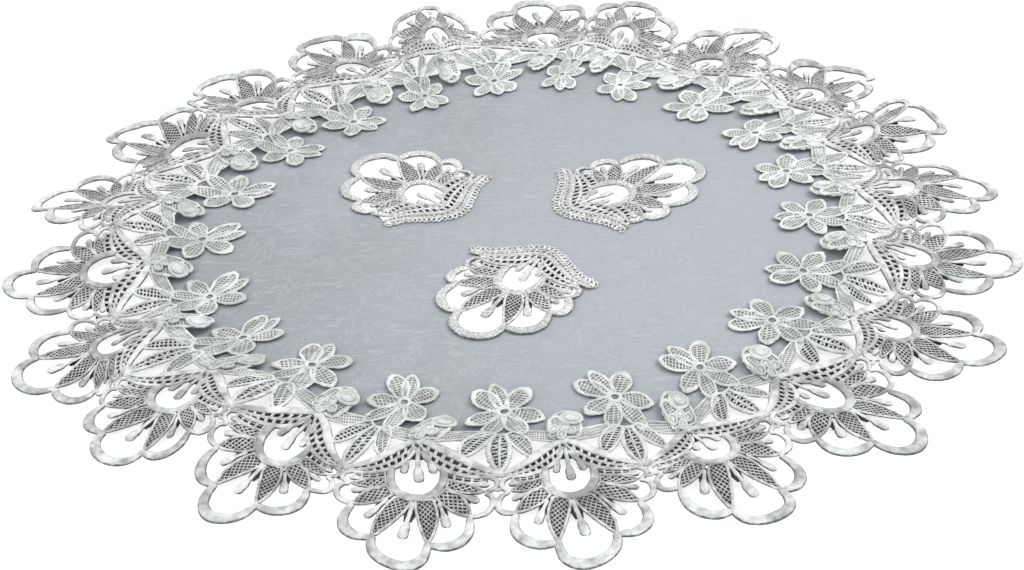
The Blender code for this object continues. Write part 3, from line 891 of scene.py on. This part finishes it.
def draw_bud(lace):
    """A rolled bud on the shell's axis: a round petal, one folded over it, and its roll."""
    lace.group = G_BUD
    lace.weight = lambda x, y: (
        np.clip(1.05 - ((x - 0.5) / 9.0) ** 2 - ((y - 166.0) / 13.0) ** 2, 0, 1) ** 0.8
    )
    # Each petal's net lies over a grey sheet of painted shade
    for base, tip, width, full, power, bend, families, up in BUD:
        framed(
            lace, base, tip, width, rim=1.5, families=families, ground=GREY_SHADE, slots=(BLOOM, BLOOM),
            swell=0.8, rise=0.65, foot=0.16, power=power, full=full, bend=bend, up=up,
        )
    turns = np.linspace(0, math.tau, 13)[:-1]
    for x, y, across, along, width, base in BUD_ROLL:
        ring = np.column_stack([x + across * np.cos(turns), y + along * np.sin(turns)])
        line = smoothed(ring, 0.8, closed=True)
        line = line + lace.rng.normal(0, 0.1, line.shape)
        half = width / 2 + lace.rng.normal(0, 0.08, len(line))
        lace.slab(ring, 0.1, base + 0.45, BLOOM)
        lace.sweep(line, half, 0.8, RIM, BLOOM, base, closed=True)
    for ring in BUD_CURLS:
        line = smoothed(ring, 0.7, closed=True)
        middle = np.mean(ring, axis=0)
        lace.slab(middle + (np.array(ring) - middle) * 0.9, 0.3, 1.1, BLOOM)
        lace.sweep(line, 0.62 + lace.rng.normal(0, 0.06, len(line)), 0.8, RIM, BLOOM, 0.9, closed=True)
    lace.group = -1
    lace.slab(((-1.6, 178.2), (1.6, 178.2), (1.9, 181.6), (0.0, 183.2), (-1.9, 181.6)), -0.3, 0.9, BLOOM)


# ---------------------------------------------------------------------------- materials


def new_material(name, colour, roughness, specular=0.3):
    material = bpy.data.materials.new(name)
    material.use_nodes = True
    shader = material.node_tree.nodes["Principled BSDF"]
    shader.inputs["Base Color"].default_value = (*colour, 1.0)
    shader.inputs["Roughness"].default_value = roughness
    shader.inputs["Specular IOR Level"].default_value = specular
    return material, material.node_tree, shader


def node(tree, kind, **values):
    made = tree.nodes.new(kind)
    for key, value in values.items():
        if hasattr(made, key):
            setattr(made, key, value)
        else:
            made.inputs[key.replace("_", " ")].default_value = value
    return made


def math_node(tree, operation, a, b=None):
    made = tree.nodes.new("ShaderNodeMath")
    made.operation = operation
    for k, value in enumerate((a, b)):
        if value is None:
            continue
        if isinstance(value, (int, float)):
            made.inputs[k].default_value = value
        else:
            tree.links.new(value, made.inputs[k])
    return made.outputs[0]


def ramp(tree, factor, stops):
    made = tree.nodes.new("ShaderNodeValToRGB")
    tree.links.new(factor, made.inputs["Fac"])
    elements = made.color_ramp.elements
    while len(elements) > len(stops):
        elements.remove(elements[-1])
    while len(elements) < len(stops):
        elements.new(1.0)
    for element, (at, colour) in zip(elements, stops):
        element.position = at
        element.color = (*colour, 1.0)
    return made.outputs["Color"]


def object_noise(tree, scale, detail=3.0, stretch=(1, 1, 1), roughness=0.5):
    place = tree.nodes.new("ShaderNodeTexCoord")
    turn = tree.nodes.new("ShaderNodeMapping")
    turn.inputs["Scale"].default_value = stretch
    tree.links.new(place.outputs["Object"], turn.inputs["Vector"])
    made = node(tree, "ShaderNodeTexNoise", Scale=scale, Detail=detail, Roughness=roughness)
    tree.links.new(turn.outputs["Vector"], made.inputs["Vector"])
    return made


def mix_colour(tree, factor, a, b):
    made = tree.nodes.new("ShaderNodeMix")
    made.data_type = "RGBA"
    for socket, value in ((made.inputs["Factor"], factor), (made.inputs["A"], a), (made.inputs["B"], b)):
        if isinstance(value, (int, float)):
            socket.default_value = value
        elif isinstance(value, tuple):
            socket.default_value = (*value, 1.0)
        else:
            tree.links.new(value, socket)
    return made.outputs["Result"]


def eased(tree, value, low, high, start=0.0, end=1.0):
    made = tree.nodes.new("ShaderNodeMapRange")
    made.interpolation_type = "SMOOTHSTEP"
    tree.links.new(value, made.inputs["Value"])
    for name, number in (("From Min", low), ("From Max", high), ("To Min", start), ("To Max", end)):
        made.inputs[name].default_value = number
    return made.outputs["Result"]


def thread_material(
    name, light, dark, edge, roughness, pitch=0.95, depth=0.6, sheen=0.15, edge_shade_from=0.72, grain=300.0,
    sheen_share=0.46, lit_gain=1.0,
):
    """White thread: stitch ridges across each band, a soft uneven tint with broad patches of
    painted sheen, and painted shade that darkens each band's steep edges. The last argument
    is a gain of painted light towards the right and the far side, where the key light falls."""
    material, tree, shader = new_material(name, light, roughness, 0.3)
    shader.inputs["Sheen Weight"].default_value = sheen
    shader.inputs["Sheen Roughness"].default_value = 0.45
    mark = tree.nodes.new("ShaderNodeAttribute")
    mark.attribute_name = "stitch"
    split = tree.nodes.new("ShaderNodeSeparateXYZ")
    tree.links.new(mark.outputs["Vector"], split.inputs["Vector"])
    fuzz = object_noise(tree, 900.0, 2.0)
    along = math_node(
        tree, "ADD", split.outputs["X"], math_node(tree, "MULTIPLY", fuzz.outputs["Fac"], 1.1)
    )
    across = math_node(tree, "ABSOLUTE", split.outputs["Y"])
    slant = math_node(tree, "ADD", along, math_node(tree, "MULTIPLY", across, 0.35))
    ridge = math_node(tree, "SINE", math_node(tree, "MULTIPLY", slant, math.tau / pitch))
    coarse = object_noise(tree, 420.0, 4.0)
    height = math_node(
        tree,
        "ADD",
        math_node(tree, "MULTIPLY", ridge, 0.03),
        math_node(tree, "MULTIPLY", coarse.outputs["Fac"], 1.7),
    )
    bump = node(tree, "ShaderNodeBump", Strength=depth, Distance=0.00022)
    tree.links.new(height, bump.inputs["Height"])
    tree.links.new(bump.outputs["Normal"], shader.inputs["Normal"])
    tint = object_noise(tree, grain, 3.0)
    # Broad patches that stand in for the satin's sheen are painted sheen laid at random; the finer tint is the thread's
    # own uneven tone
    sheen_patches = object_noise(tree, 95.0, 1.0)
    mixed = math_node(
        tree,
        "ADD",
        math_node(
            tree,
            "ADD",
            math_node(tree, "MULTIPLY", tint.outputs["Fac"], 0.88 - sheen_share),
            math_node(tree, "MULTIPLY", sheen_patches.outputs["Fac"], sheen_share),
        ),
        math_node(
            tree,
            "ADD",
            math_node(tree, "MULTIPLY", split.outputs["Z"], 0.1),
            math_node(tree, "MULTIPLY", ridge, 0.015),
        ),
    )
    body = ramp(tree, mixed, ((0.39, dark), (0.60, light)))
    # Painted shade: the colour darkens to the edge colour over the outer part of each band's width
    frayed = math_node(
        tree, "ADD", across, math_node(tree, "MULTIPLY", math_node(tree, "SUBTRACT", coarse.outputs["Fac"], 0.5), 0.5)
    )
    edge_shade_mask = eased(tree, frayed, edge_shade_from, 1.0)
    colour = mix_colour(tree, edge_shade_mask, body, edge)
    if lit_gain > 1.0:
        # Painted light: the colour is scaled up towards the right and the far side, where the key light falls
        place = tree.nodes.new("ShaderNodeTexCoord")
        spot = tree.nodes.new("ShaderNodeSeparateXYZ")
        tree.links.new(place.outputs["Object"], spot.inputs["Vector"])
        side = math_node(tree, "ADD", spot.outputs["X"], math_node(tree, "MULTIPLY", spot.outputs["Y"], 0.8))
        gain = tree.nodes.new("ShaderNodeVectorMath")
        gain.operation = "SCALE"
        tree.links.new(colour, gain.inputs[0])
        tree.links.new(eased(tree, side, 0.0, 0.16, 1.0, lit_gain), gain.inputs["Scale"])
        colour = gain.outputs[0]
    tree.links.new(colour, shader.inputs["Base Color"])
    return material


def grey_shade_material():
    """A grey sheet of painted shade under the petals' nets, for the shaded ground seen through them; dimmer than their
    threads.
    """
    material, tree, shader = new_material("lace_grey_shade", (0.36, 0.365, 0.355), 0.9, 0.1)
    tint = object_noise(tree, 260.0, 3.0)
    colour = ramp(tree, tint.outputs["Fac"], ((0.35, (0.15, 0.154, 0.148)), (0.62, (0.31, 0.318, 0.305))))
    tree.links.new(colour, shader.inputs["Base Color"])
    return material


def dark_shade_material():
    """A dark sheet of painted shade inside the close net and ladder cells, lighter towards the far side."""
    material, tree, shader = new_material("lace_dark_shade", (0.09, 0.085, 0.08), 1.0, 0.0)
    tint = object_noise(tree, 160.0, 2.0)
    colour = ramp(tree, tint.outputs["Fac"], ((0.35, (0.018, 0.016, 0.014)), (0.7, (0.075, 0.07, 0.066))))
    # The painted shade is made lighter towards the far side and a little towards the near side
    place = tree.nodes.new("ShaderNodeTexCoord")
    spot = tree.nodes.new("ShaderNodeSeparateXYZ")
    tree.links.new(place.outputs["Object"], spot.inputs["Vector"])
    far = eased(tree, spot.outputs["Y"], 0.08, 0.22, 0.0, 0.45)
    near = eased(tree, spot.outputs["Y"], -0.22, -0.1, 0.24, 0.0)
    thin = math_node(tree, "ADD", far, near)
    tree.links.new(mix_colour(tree, thin, colour, (0.19, 0.185, 0.175)), shader.inputs["Base Color"])
    return material


def slubs(tree, scale, stretch, turn, width, wander=0.003):
    """Thin broken crinkled lines that mostly run one way: 1 on a line, 0 off it."""
    place = tree.nodes.new("ShaderNodeTexCoord")
    spin = tree.nodes.new("ShaderNodeMapping")
    spin.inputs["Rotation"].default_value = (0, 0, math.radians(turn))
    tree.links.new(place.outputs["Object"], spin.inputs["Vector"])
    wobble = node(tree, "ShaderNodeTexNoise", Scale=170.0, Detail=2.0)
    tree.links.new(spin.outputs["Vector"], wobble.inputs["Vector"])
    push = tree.nodes.new("ShaderNodeVectorMath")
    push.operation = "MULTIPLY_ADD"
    tree.links.new(wobble.outputs["Color"], push.inputs[0])
    push.inputs[1].default_value = (wander, wander, 0)
    tree.links.new(spin.outputs["Vector"], push.inputs[2])
    size = tree.nodes.new("ShaderNodeMapping")
    size.inputs["Scale"].default_value = stretch
    tree.links.new(push.outputs[0], size.inputs["Vector"])
    waves = node(tree, "ShaderNodeTexNoise", Scale=scale, Detail=2.0, Roughness=0.55)
    tree.links.new(size.outputs["Vector"], waves.inputs["Vector"])
    from_line = math_node(tree, "ABSOLUTE", math_node(tree, "SUBTRACT", waves.outputs["Fac"], 0.5))
    return eased(tree, from_line, 0.0, width, 1.0, 0.0)


def linen_material():
    """Pale grey satin-faced cloth, with short crinkled slubs woven through it."""
    material, tree, shader = new_material("linen_cloth", (0.44, 0.467, 0.494), 0.6, 0.3)
    shader.inputs["Sheen Weight"].default_value = 0.15
    shader.inputs["Sheen Roughness"].default_value = 0.5
    level = slubs(tree, 95.0, (0.38, 2.1, 1.0), 3.0, 0.035, 0.002)
    steep = math_node(
        tree,
        "MAXIMUM",
        slubs(tree, 88.0, (2.3, 0.85, 1.0), 26.0, 0.034, 0.0012),
        slubs(tree, 92.0, (2.3, 0.85, 1.0), -24.0, 0.03, 0.0012),
    )
    patchy = object_noise(tree, 60.0, 2.0)
    kept = eased(tree, patchy.outputs["Fac"], 0.42, 0.58)
    faint = math_node(tree, "ADD", math_node(tree, "MULTIPLY", kept, 0.6), 0.4)
    other = math_node(tree, "SUBTRACT", 1.0, kept)
    lines = math_node(
        tree,
        "MAXIMUM",
        math_node(tree, "MULTIPLY", level, faint),
        math_node(tree, "MULTIPLY", math_node(tree, "MULTIPLY", steep, other), 0.8),
    )
    place = tree.nodes.new("ShaderNodeTexCoord")
    spot = tree.nodes.new("ShaderNodeSeparateXYZ")
    tree.links.new(place.outputs["Object"], spot.inputs["Vector"])
    # The ground is palest at the lower right
    slope = math_node(
        tree, "ADD", spot.outputs["X"], math_node(tree, "MULTIPLY", spot.outputs["Y"], 0.55)
    )
    away = tree.nodes.new("ShaderNodeVectorMath")
    away.operation = "DISTANCE"
    tree.links.new(place.outputs["Object"], away.inputs[0])
    away.inputs[1].default_value = (0.1, -0.05, 0.0)
    paler = eased(tree, away.outputs["Value"], 0.05, 0.25, 1.0, 0.0)
    # Painted sheen: the slubs fade towards the right and the far side
    sheen_fade = eased(tree, slope, 0.06, 0.2, 1.0, 0.4)
    cloud = object_noise(tree, 11.0, 3.0)
    ground = mix_colour(tree, paler, (0.255, 0.270, 0.286), (0.331, 0.352, 0.374))
    hue = eased(tree, cloud.outputs["Fac"], 0.38, 0.66)
    ground = mix_colour(tree, math_node(tree, "MULTIPLY", hue, 0.6), ground, (0.33, 0.338, 0.372))
    fine = object_noise(tree, 700.0, 3.0)
    shade = eased(tree, fine.outputs["Fac"], 0.3, 0.55, 0.12, 0.0)
    ground = mix_colour(tree, shade, ground, (0.21, 0.22, 0.235))
    shown = math_node(tree, "MULTIPLY", math_node(tree, "MULTIPLY", lines, sheen_fade), 0.42)
    tree.links.new(mix_colour(tree, shown, ground, (0.44, 0.457, 0.475)), shader.inputs["Base Color"])
    weave = object_noise(tree, 1500.0, 2.0)
    height = math_node(
        tree, "ADD", lines, math_node(tree, "MULTIPLY", weave.outputs["Fac"], 0.4)
    )
    bump = node(tree, "ShaderNodeBump", Strength=0.35, Distance=0.00015)
    tree.links.new(height, bump.inputs["Height"])
    tree.links.new(bump.outputs["Normal"], shader.inputs["Normal"])
    return material


# ------------------------------------------------------------------------------- meshes


def mesh_from(name, points, faces, slots, stitch, materials):
    data = bpy.data.meshes.new(name)
    sizes = np.array([len(f) for f in faces])
    data.vertices.add(len(points))
    data.vertices.foreach_set("co", (points * MM).astype(np.float32).ravel())
    data.loops.add(int(sizes.sum()))
    data.loops.foreach_set("vertex_index", np.concatenate([np.array(f) for f in faces]).astype(np.int32))
    data.polygons.add(len(faces))
    starts = np.concatenate([[0], np.cumsum(sizes)[:-1]])
    data.polygons.foreach_set("loop_start", starts.astype(np.int32))
    data.polygons.foreach_set("loop_total", sizes.astype(np.int32))
    data.polygons.foreach_set("material_index", np.array(slots, np.int32))
    data.update(calc_edges=True)
    if stitch is not None:
        mark = data.attributes.new("stitch", "FLOAT_VECTOR", "POINT")
        mark.data.foreach_set("vector", stitch.astype(np.float32).ravel())
    for material in materials:
        data.materials.append(material)
    soft = ~np.isin(slots, (GREY_SHADE, DARK_SHADE))
    data.polygons.foreach_set("use_smooth", soft if len(materials) > 1 else np.ones(len(faces), bool))
    made = bpy.data.objects.new(name, data)
    bpy.context.scene.collection.objects.link(made)
    return made


def join(parts):
    """(points on the even ring with h, stitch, faces, slots, sway) of several laces."""
    points, stitch, faces, slots, sway, count = [], [], [], [], [], 0
    for lace, degrees in parts:
        p, s, f, k, w = lace
        flat = turned(p[:, :2], degrees)
        points.append(np.column_stack([flat, p[:, 2]]))
        stitch.append(s)
        sway.append(np.column_stack([w[:, :2], turned(w[:, 2:], degrees)]))
        faces += [tuple(count + q for q in face) for face in f]
        slots += k
        count += len(p)
    return np.vstack(points), np.vstack(stitch), faces, slots, np.vstack(sway)


def swung(points, sway, seed):
    """Heights that differ from one repeat to the next."""
    rng = np.random.default_rng(seed)
    amounts = np.zeros(GROUPS + 1)
    for k in range(GROUPS):
        amounts[k] = rng.uniform(-0.45, 0.4) if G_PETAL <= k < G_BUD else rng.uniform(0.9, 2.0)
    index = sway[:, 0].astype(int)
    return points[:, 2] + np.where(index >= 0, amounts[index] * sway[:, 1], 0)


def firmed(laid, points, sway):
    """Give the firm bands back the width that the lie took from them; the far ones turn up."""
    drawn = np.linalg.norm(sway[:, 2:], axis=1)
    band = drawn > 1e-6
    middle = lay(points[band, :2] + sway[band, 2:])
    arm = laid[band, :2] - middle[:, :2]
    gain = np.clip(drawn[band] / np.maximum(np.linalg.norm(arm, axis=1), 1e-6), 1.0, 1.5)
    far = smooth_step((middle[:, 1] - 40.0) / 120.0)
    arm *= (gain * (1 + 0.06 * far))[:, None]
    laid[band, :2] = middle[:, :2] + arm
    laid[band, 2] += 0.36 * far * arm[:, 1]
    return laid


def make_border(materials):
    shell, leaves, flower = Lace(), Lace(), Lace()
    draw_shell(shell)
    draw_bud(shell)
    draw_leaves(leaves)
    draw_garland(leaves)
    draw_flower(flower)
    shell, leaves, flower = shell.gather(), leaves.gather(), flower.gather()
    rng = np.random.default_rng(11)
    made = []
    for i in range(REPEATS):
        a = math.radians(rng.uniform(-5.0, 5.0))
        spun = flower[0].copy()
        x, y = spun[:, 0], spun[:, 1] - FLOWER_R
        spun[:, 0] = x * math.cos(a) - y * math.sin(a)
        spun[:, 1] = FLOWER_R + x * math.sin(a) + y * math.cos(a)
        points, stitch, faces, slots, sway = join(
            ((shell, shell_angle(i)), (leaves, flower_angle(i)), ((spun, *flower[1:]), flower_angle(i)))
        )
        heights = swung(points, sway, 40 + i)
        laid = firmed(lay(points[:, :2]), points, sway)
        laid[:, 2] += heights
        laid[:, 2] = np.maximum(laid[:, 2], 0.02)
        made.append(mesh_from(f"lace_repeat_{i:02d}", laid, faces, slots, stitch, materials))
    return made


INSET_SHAPES = {  # lift of the left and right side, shift of the left and right wing's end, spread of the loops
    "inset_left": (3.0, 1.2, 0.0, -4.5, 0.07),
    "inset_right": (0.8, 0.8, 1.5, 0.0, 0.0),
    "inset_front": (3.0, 3.0, 0.0, 0.0, 0.05),
}
INSET_Z = LACE_Z - 0.45  # laid close on the linen's hem


def make_insets(materials):
    lace = Lace()
    draw_shell(lace, let_in=True)
    draw_picots(lace)
    points, stitch, faces, slots, _ = lace.gather()
    x, y = points[:, 0], points[:, 1]
    made = []
    for values in INSETS:
        row = dict(zip(INSET_COLUMNS, values))
        a = math.radians(row["points"])
        along = np.array((math.cos(a), math.sin(a))) * row["along"]
        across = np.array((-math.sin(a), math.cos(a))) * row["across"]
        # The upper part reaches further from the loops, on each side by its own amount
        left, right, left_end, right_end, spread = INSET_SHAPES[row["name"]]
        longer = left + (right - left) * smooth_step(x / 30.0 + 0.5)
        upper = smooth_step((207.0 - y) / 12.0)
        reach = y - longer * upper
        wide = x * (1 + spread * smooth_step((y - 204.0) / 14.0))
        wide += upper * (left_end * smooth_step((-x - 8) / 24.0) + right_end * smooth_step((x - 8) / 24.0))
        flat = (
            np.array((row["x"], row["y"]))
            + (reach - INSET_PEAK)[:, None] * along
            + wide[:, None] * across
        )
        laid = np.column_stack([flat, INSET_Z + points[:, 2]])
        made.append(mesh_from(f"lace_{row['name']}", laid, faces, slots, stitch, materials))
    return made


def inside(points, outline):
    x, y = np.asarray(points, float).T
    found = np.zeros(len(x), bool)
    ends = np.roll(outline, -1, axis=0)
    for (ax, ay), (bx, by) in zip(outline, ends):
        crosses = (ay > y) != (by > y)
        with np.errstate(divide="ignore", invalid="ignore"):
            found ^= crosses & (x < (bx - ax) * (y - ay) / (by - ay) + ax)
    return found


CUT_EDGE = (  # half of the hole in the linen under an inset, in the shell's own frame
    (0.0, 176.5),
    (10.0, 181.0),
    (20.0, 187.6),
    (27.0, 192.8),
    (26.8, 199.4),
    (28.4, 206.0),
    (28.2, 211.6),
    (23.6, 216.2),
    (24.0, 224.0),
    (21.0, 230.4),
    (14.0, 233.6),
    (9.8, 236.0),
    (8.0, 241.4),
    (0.0, 245.0),
)


def make_linen(material):
    """The linen, with its three cut-outs and the very low waves it lies in."""
    angles = TURN - 90.0 + np.arange(252) * 360.0 / 252
    rim = [polar(LINEN_R - 3.0 * max(0.0, -math.sin(math.radians(a))), a) for a in angles]
    rim = lay(rim)[:, :2]
    cuts = []
    for values in INSETS:
        row = dict(zip(INSET_COLUMNS, values))
        a = math.radians(row["points"])
        along = np.array((math.cos(a), math.sin(a))) * row["along"]
        across = np.array((-math.sin(a), math.cos(a))) * row["across"]
        half = np.array(CUT_EDGE, float)
        edge = np.vstack([half, half[1:-1][::-1] * (-1, 1)])
        edge = smoothed(edge, 1.6, closed=True)
        x, y = edge.T
        wide = x * (1 + INSET_SHAPES[row["name"]][4] * smooth_step((y - 204.0) / 14.0))
        cuts.append(
            np.array((row["x"], row["y"])) + (y - INSET_PEAK)[:, None] * along + wide[:, None] * across
        )
    flat, edges = [], []
    for outline in [rim, *cuts]:
        first = len(flat)
        flat += [Vector(p) for p in outline]
        edges += [(first + k, first + (k + 1) % len(outline)) for k in range(len(outline))]
    spots = []
    for j, y in enumerate(np.arange(-176, 176, 4.4)):
        for x in np.arange(-178 + 2.5 * (j % 2), 178, 5.0):
            spots.append((x, y))
    spots = np.array(spots)
    keep = inside(spots, rim)
    for cut in cuts:
        keep &= ~inside(spots, cut)
    flat += [Vector(p) for p in spots[keep]]
    points, _, faces, *_ = delaunay_2d_cdt(flat, edges, [], 0, 1e-6)
    points = np.array([tuple(p) for p in points])
    faces = np.array([tuple(f) for f in faces])
    middles = points[faces].mean(axis=1)
    good = inside(middles, rim)
    for cut in cuts:
        good &= ~inside(middles, cut)
    faces = faces[good]
    x, y = points.T
    wave = (
        0.10 * np.sin(x / 31.0 + 0.7 * np.sin(y / 40.0))
        + 0.10 * np.sin(y / 26.0 + 1.3 + 0.8 * np.sin(x / 47.0))
        + 0.05 * np.sin((x + y) / 14.0)
    )
    n = len(points)
    solid = np.vstack([np.column_stack([points, 0.80 + wave]), np.column_stack([points, np.full(n, 0.02)])])
    sides, counts = [], {}
    made = []
    for a, b, c in faces.tolist():
        turn = np.cross(points[b] - points[a], points[c] - points[a])
        if turn < 0:
            b, c = c, b
        made += [(a, b, c), (n + c, n + b, n + a)]
        for edge in ((a, b), (b, c), (c, a)):
            counts[edge] = 1
    for a, b in counts:
        if (b, a) not in counts:
            made.append((n + a, n + b, b, a))
    used = np.unique(np.concatenate([np.array(f) for f in made]))
    index = -np.ones(len(solid), int)
    index[used] = np.arange(len(used))
    made = [tuple(int(index[q]) for q in face) for face in made]
    return mesh_from("linen_cloth", solid[used], made, [0] * len(made), None, [material])


# -------------------------------------------------------------------------------- scene


def make_stage():
    data = bpy.data.meshes.new("stage_floor")
    s = 6.0
    data.from_pydata([(-s, -s, 0), (s, -s, 0), (s, s, 0), (-s, s, 0)], [], [(0, 1, 2, 3)])
    floor = bpy.data.objects.new("stage_floor", data)
    floor.location.z = -0.00005
    material, tree, shader = new_material("stage_white", (0.5, 0.5, 0.5), 0.9, 0.1)
    # A light table: its own glow keeps the shadows under the lace pale
    shader.inputs["Emission Color"].default_value = (1.0, 1.0, 1.0, 1.0)
    shader.inputs["Emission Strength"].default_value = 0.75
    data.materials.append(material)
    bpy.context.scene.collection.objects.link(floor)


def area_light(name, place, target, size, power, colour=(1, 1, 1)):
    data = bpy.data.lights.new(name, "AREA")
    data.shape = "RECTANGLE"
    data.size, data.size_y = size
    data.energy = power
    data.color = colour
    light = bpy.data.objects.new(name, data)
    light.location = place
    aim = Vector(target) - Vector(place)
    light.rotation_mode = "QUATERNION"
    light.rotation_quaternion = aim.to_track_quat("-Z", "Y")
    bpy.context.scene.collection.objects.link(light)
    return light


def make_camera():
    """The photograph's view: 35.8 degrees above the table, turned a little."""
    unit = 0.152
    pitch, roll, distance = 0.624975946, -0.0799547793, 4.04583711
    target = Vector((-0.0238659054, -0.398392458, 0.0)) * unit
    focal = 1288.43643
    data = bpy.data.cameras.new("camera")
    data.sensor_fit = "HORIZONTAL"
    data.sensor_width = 36.0
    data.lens = focal / 1024.0 * 36.0
    data.clip_start, data.clip_end = 0.01, 50.0
    camera = bpy.data.objects.new("camera", data)
    bpy.context.scene.collection.objects.link(camera)
    back = Vector((0, -math.cos(pitch), math.sin(pitch)))
    camera.location = target + back * distance * unit
    turn = Matrix.Rotation(math.pi / 2 - pitch, 4, "X") @ Matrix.Rotation(roll, 4, "Z")
    camera.rotation_mode = "QUATERNION"
    camera.rotation_quaternion = turn.to_quaternion()
    bpy.context.scene.camera = camera


def main():
    # The third colour given to each thread material is the colour of its painted edge shade
    satin = thread_material(
        "lace_satin", (0.67, 0.68, 0.68), (0.27, 0.275, 0.27), (0.07, 0.068, 0.065), 0.48, edge_shade_from=0.68
    )
    thread = thread_material(
        "lace_thread", (0.62, 0.63, 0.625), (0.37, 0.375, 0.365), (0.17, 0.166, 0.16), 0.65, edge_shade_from=0.78,
        lit_gain=1.1,
    )
    bloom = thread_material(
        "lace_bloom", (0.69, 0.705, 0.685), (0.44, 0.455, 0.435), (0.2, 0.205, 0.192), 0.6, edge_shade_from=0.8,
        lit_gain=1.14,
    )
    grey_shade_mat, dark_shade_mat = grey_shade_material(), dark_shade_material()
    repeats = make_border([satin, thread, bloom, grey_shade_mat, dark_shade_mat])
    # The lace in the linen has paler tones, finer stitches, a narrower band of painted edge shade and less painted
    # sheen
    fine_satin = thread_material(
        "inset_satin", (0.74, 0.75, 0.74), (0.34, 0.345, 0.335), (0.13, 0.13, 0.124), 0.55,
        edge_shade_from=0.82, grain=850.0, sheen_share=0.16,
    )
    fine_thread = thread_material(
        "inset_thread", (0.74, 0.75, 0.735), (0.4, 0.405, 0.39), (0.13, 0.128, 0.12), 0.65,
        edge_shade_from=0.82, grain=700.0, sheen_share=0.2,
    )
    fine_bloom = thread_material(
        "inset_bloom", (0.86, 0.87, 0.85), (0.46, 0.47, 0.45), (0.26, 0.265, 0.25), 0.6,
        edge_shade_from=0.84, grain=700.0, sheen_share=0.2,
    )
    insets = make_insets([fine_satin, fine_thread, fine_bloom, grey_shade_mat, dark_shade_mat])
    linen = make_linen(linen_material())

    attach(linen, "root")
    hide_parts("linen_centre")
    # The areas declared for the lace pieces are larger than what they cover.
    for k, piece in enumerate(repeats):
        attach(piece, "root")
        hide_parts("lace_border")
    for piece, values in zip(insets, INSETS):
        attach(piece, "root")
        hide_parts(values[0])

    make_stage()
    world = bpy.data.worlds.new("studio")
    bpy.context.scene.world = world
    world.use_nodes = True
    sky = world.node_tree.nodes["Background"]
    sky.inputs["Color"].default_value = (0.97, 0.985, 1.0, 1.0)
    sky.inputs["Strength"].default_value = 1.05
    area_light("key", (2.3, 0.9, 2.4), (0, 0, 0), (1.8, 1.8), 58.0, (1.0, 0.99, 0.975))
    area_light("fill", (-2.2, -1.4, 2.4), (0, 0, 0), (2.4, 2.4), 18.0, (0.97, 0.98, 1.0))
    make_camera()
    scene = bpy.context.scene
    scene.view_settings.view_transform = "Standard"
    scene.view_settings.look = "None"


main()
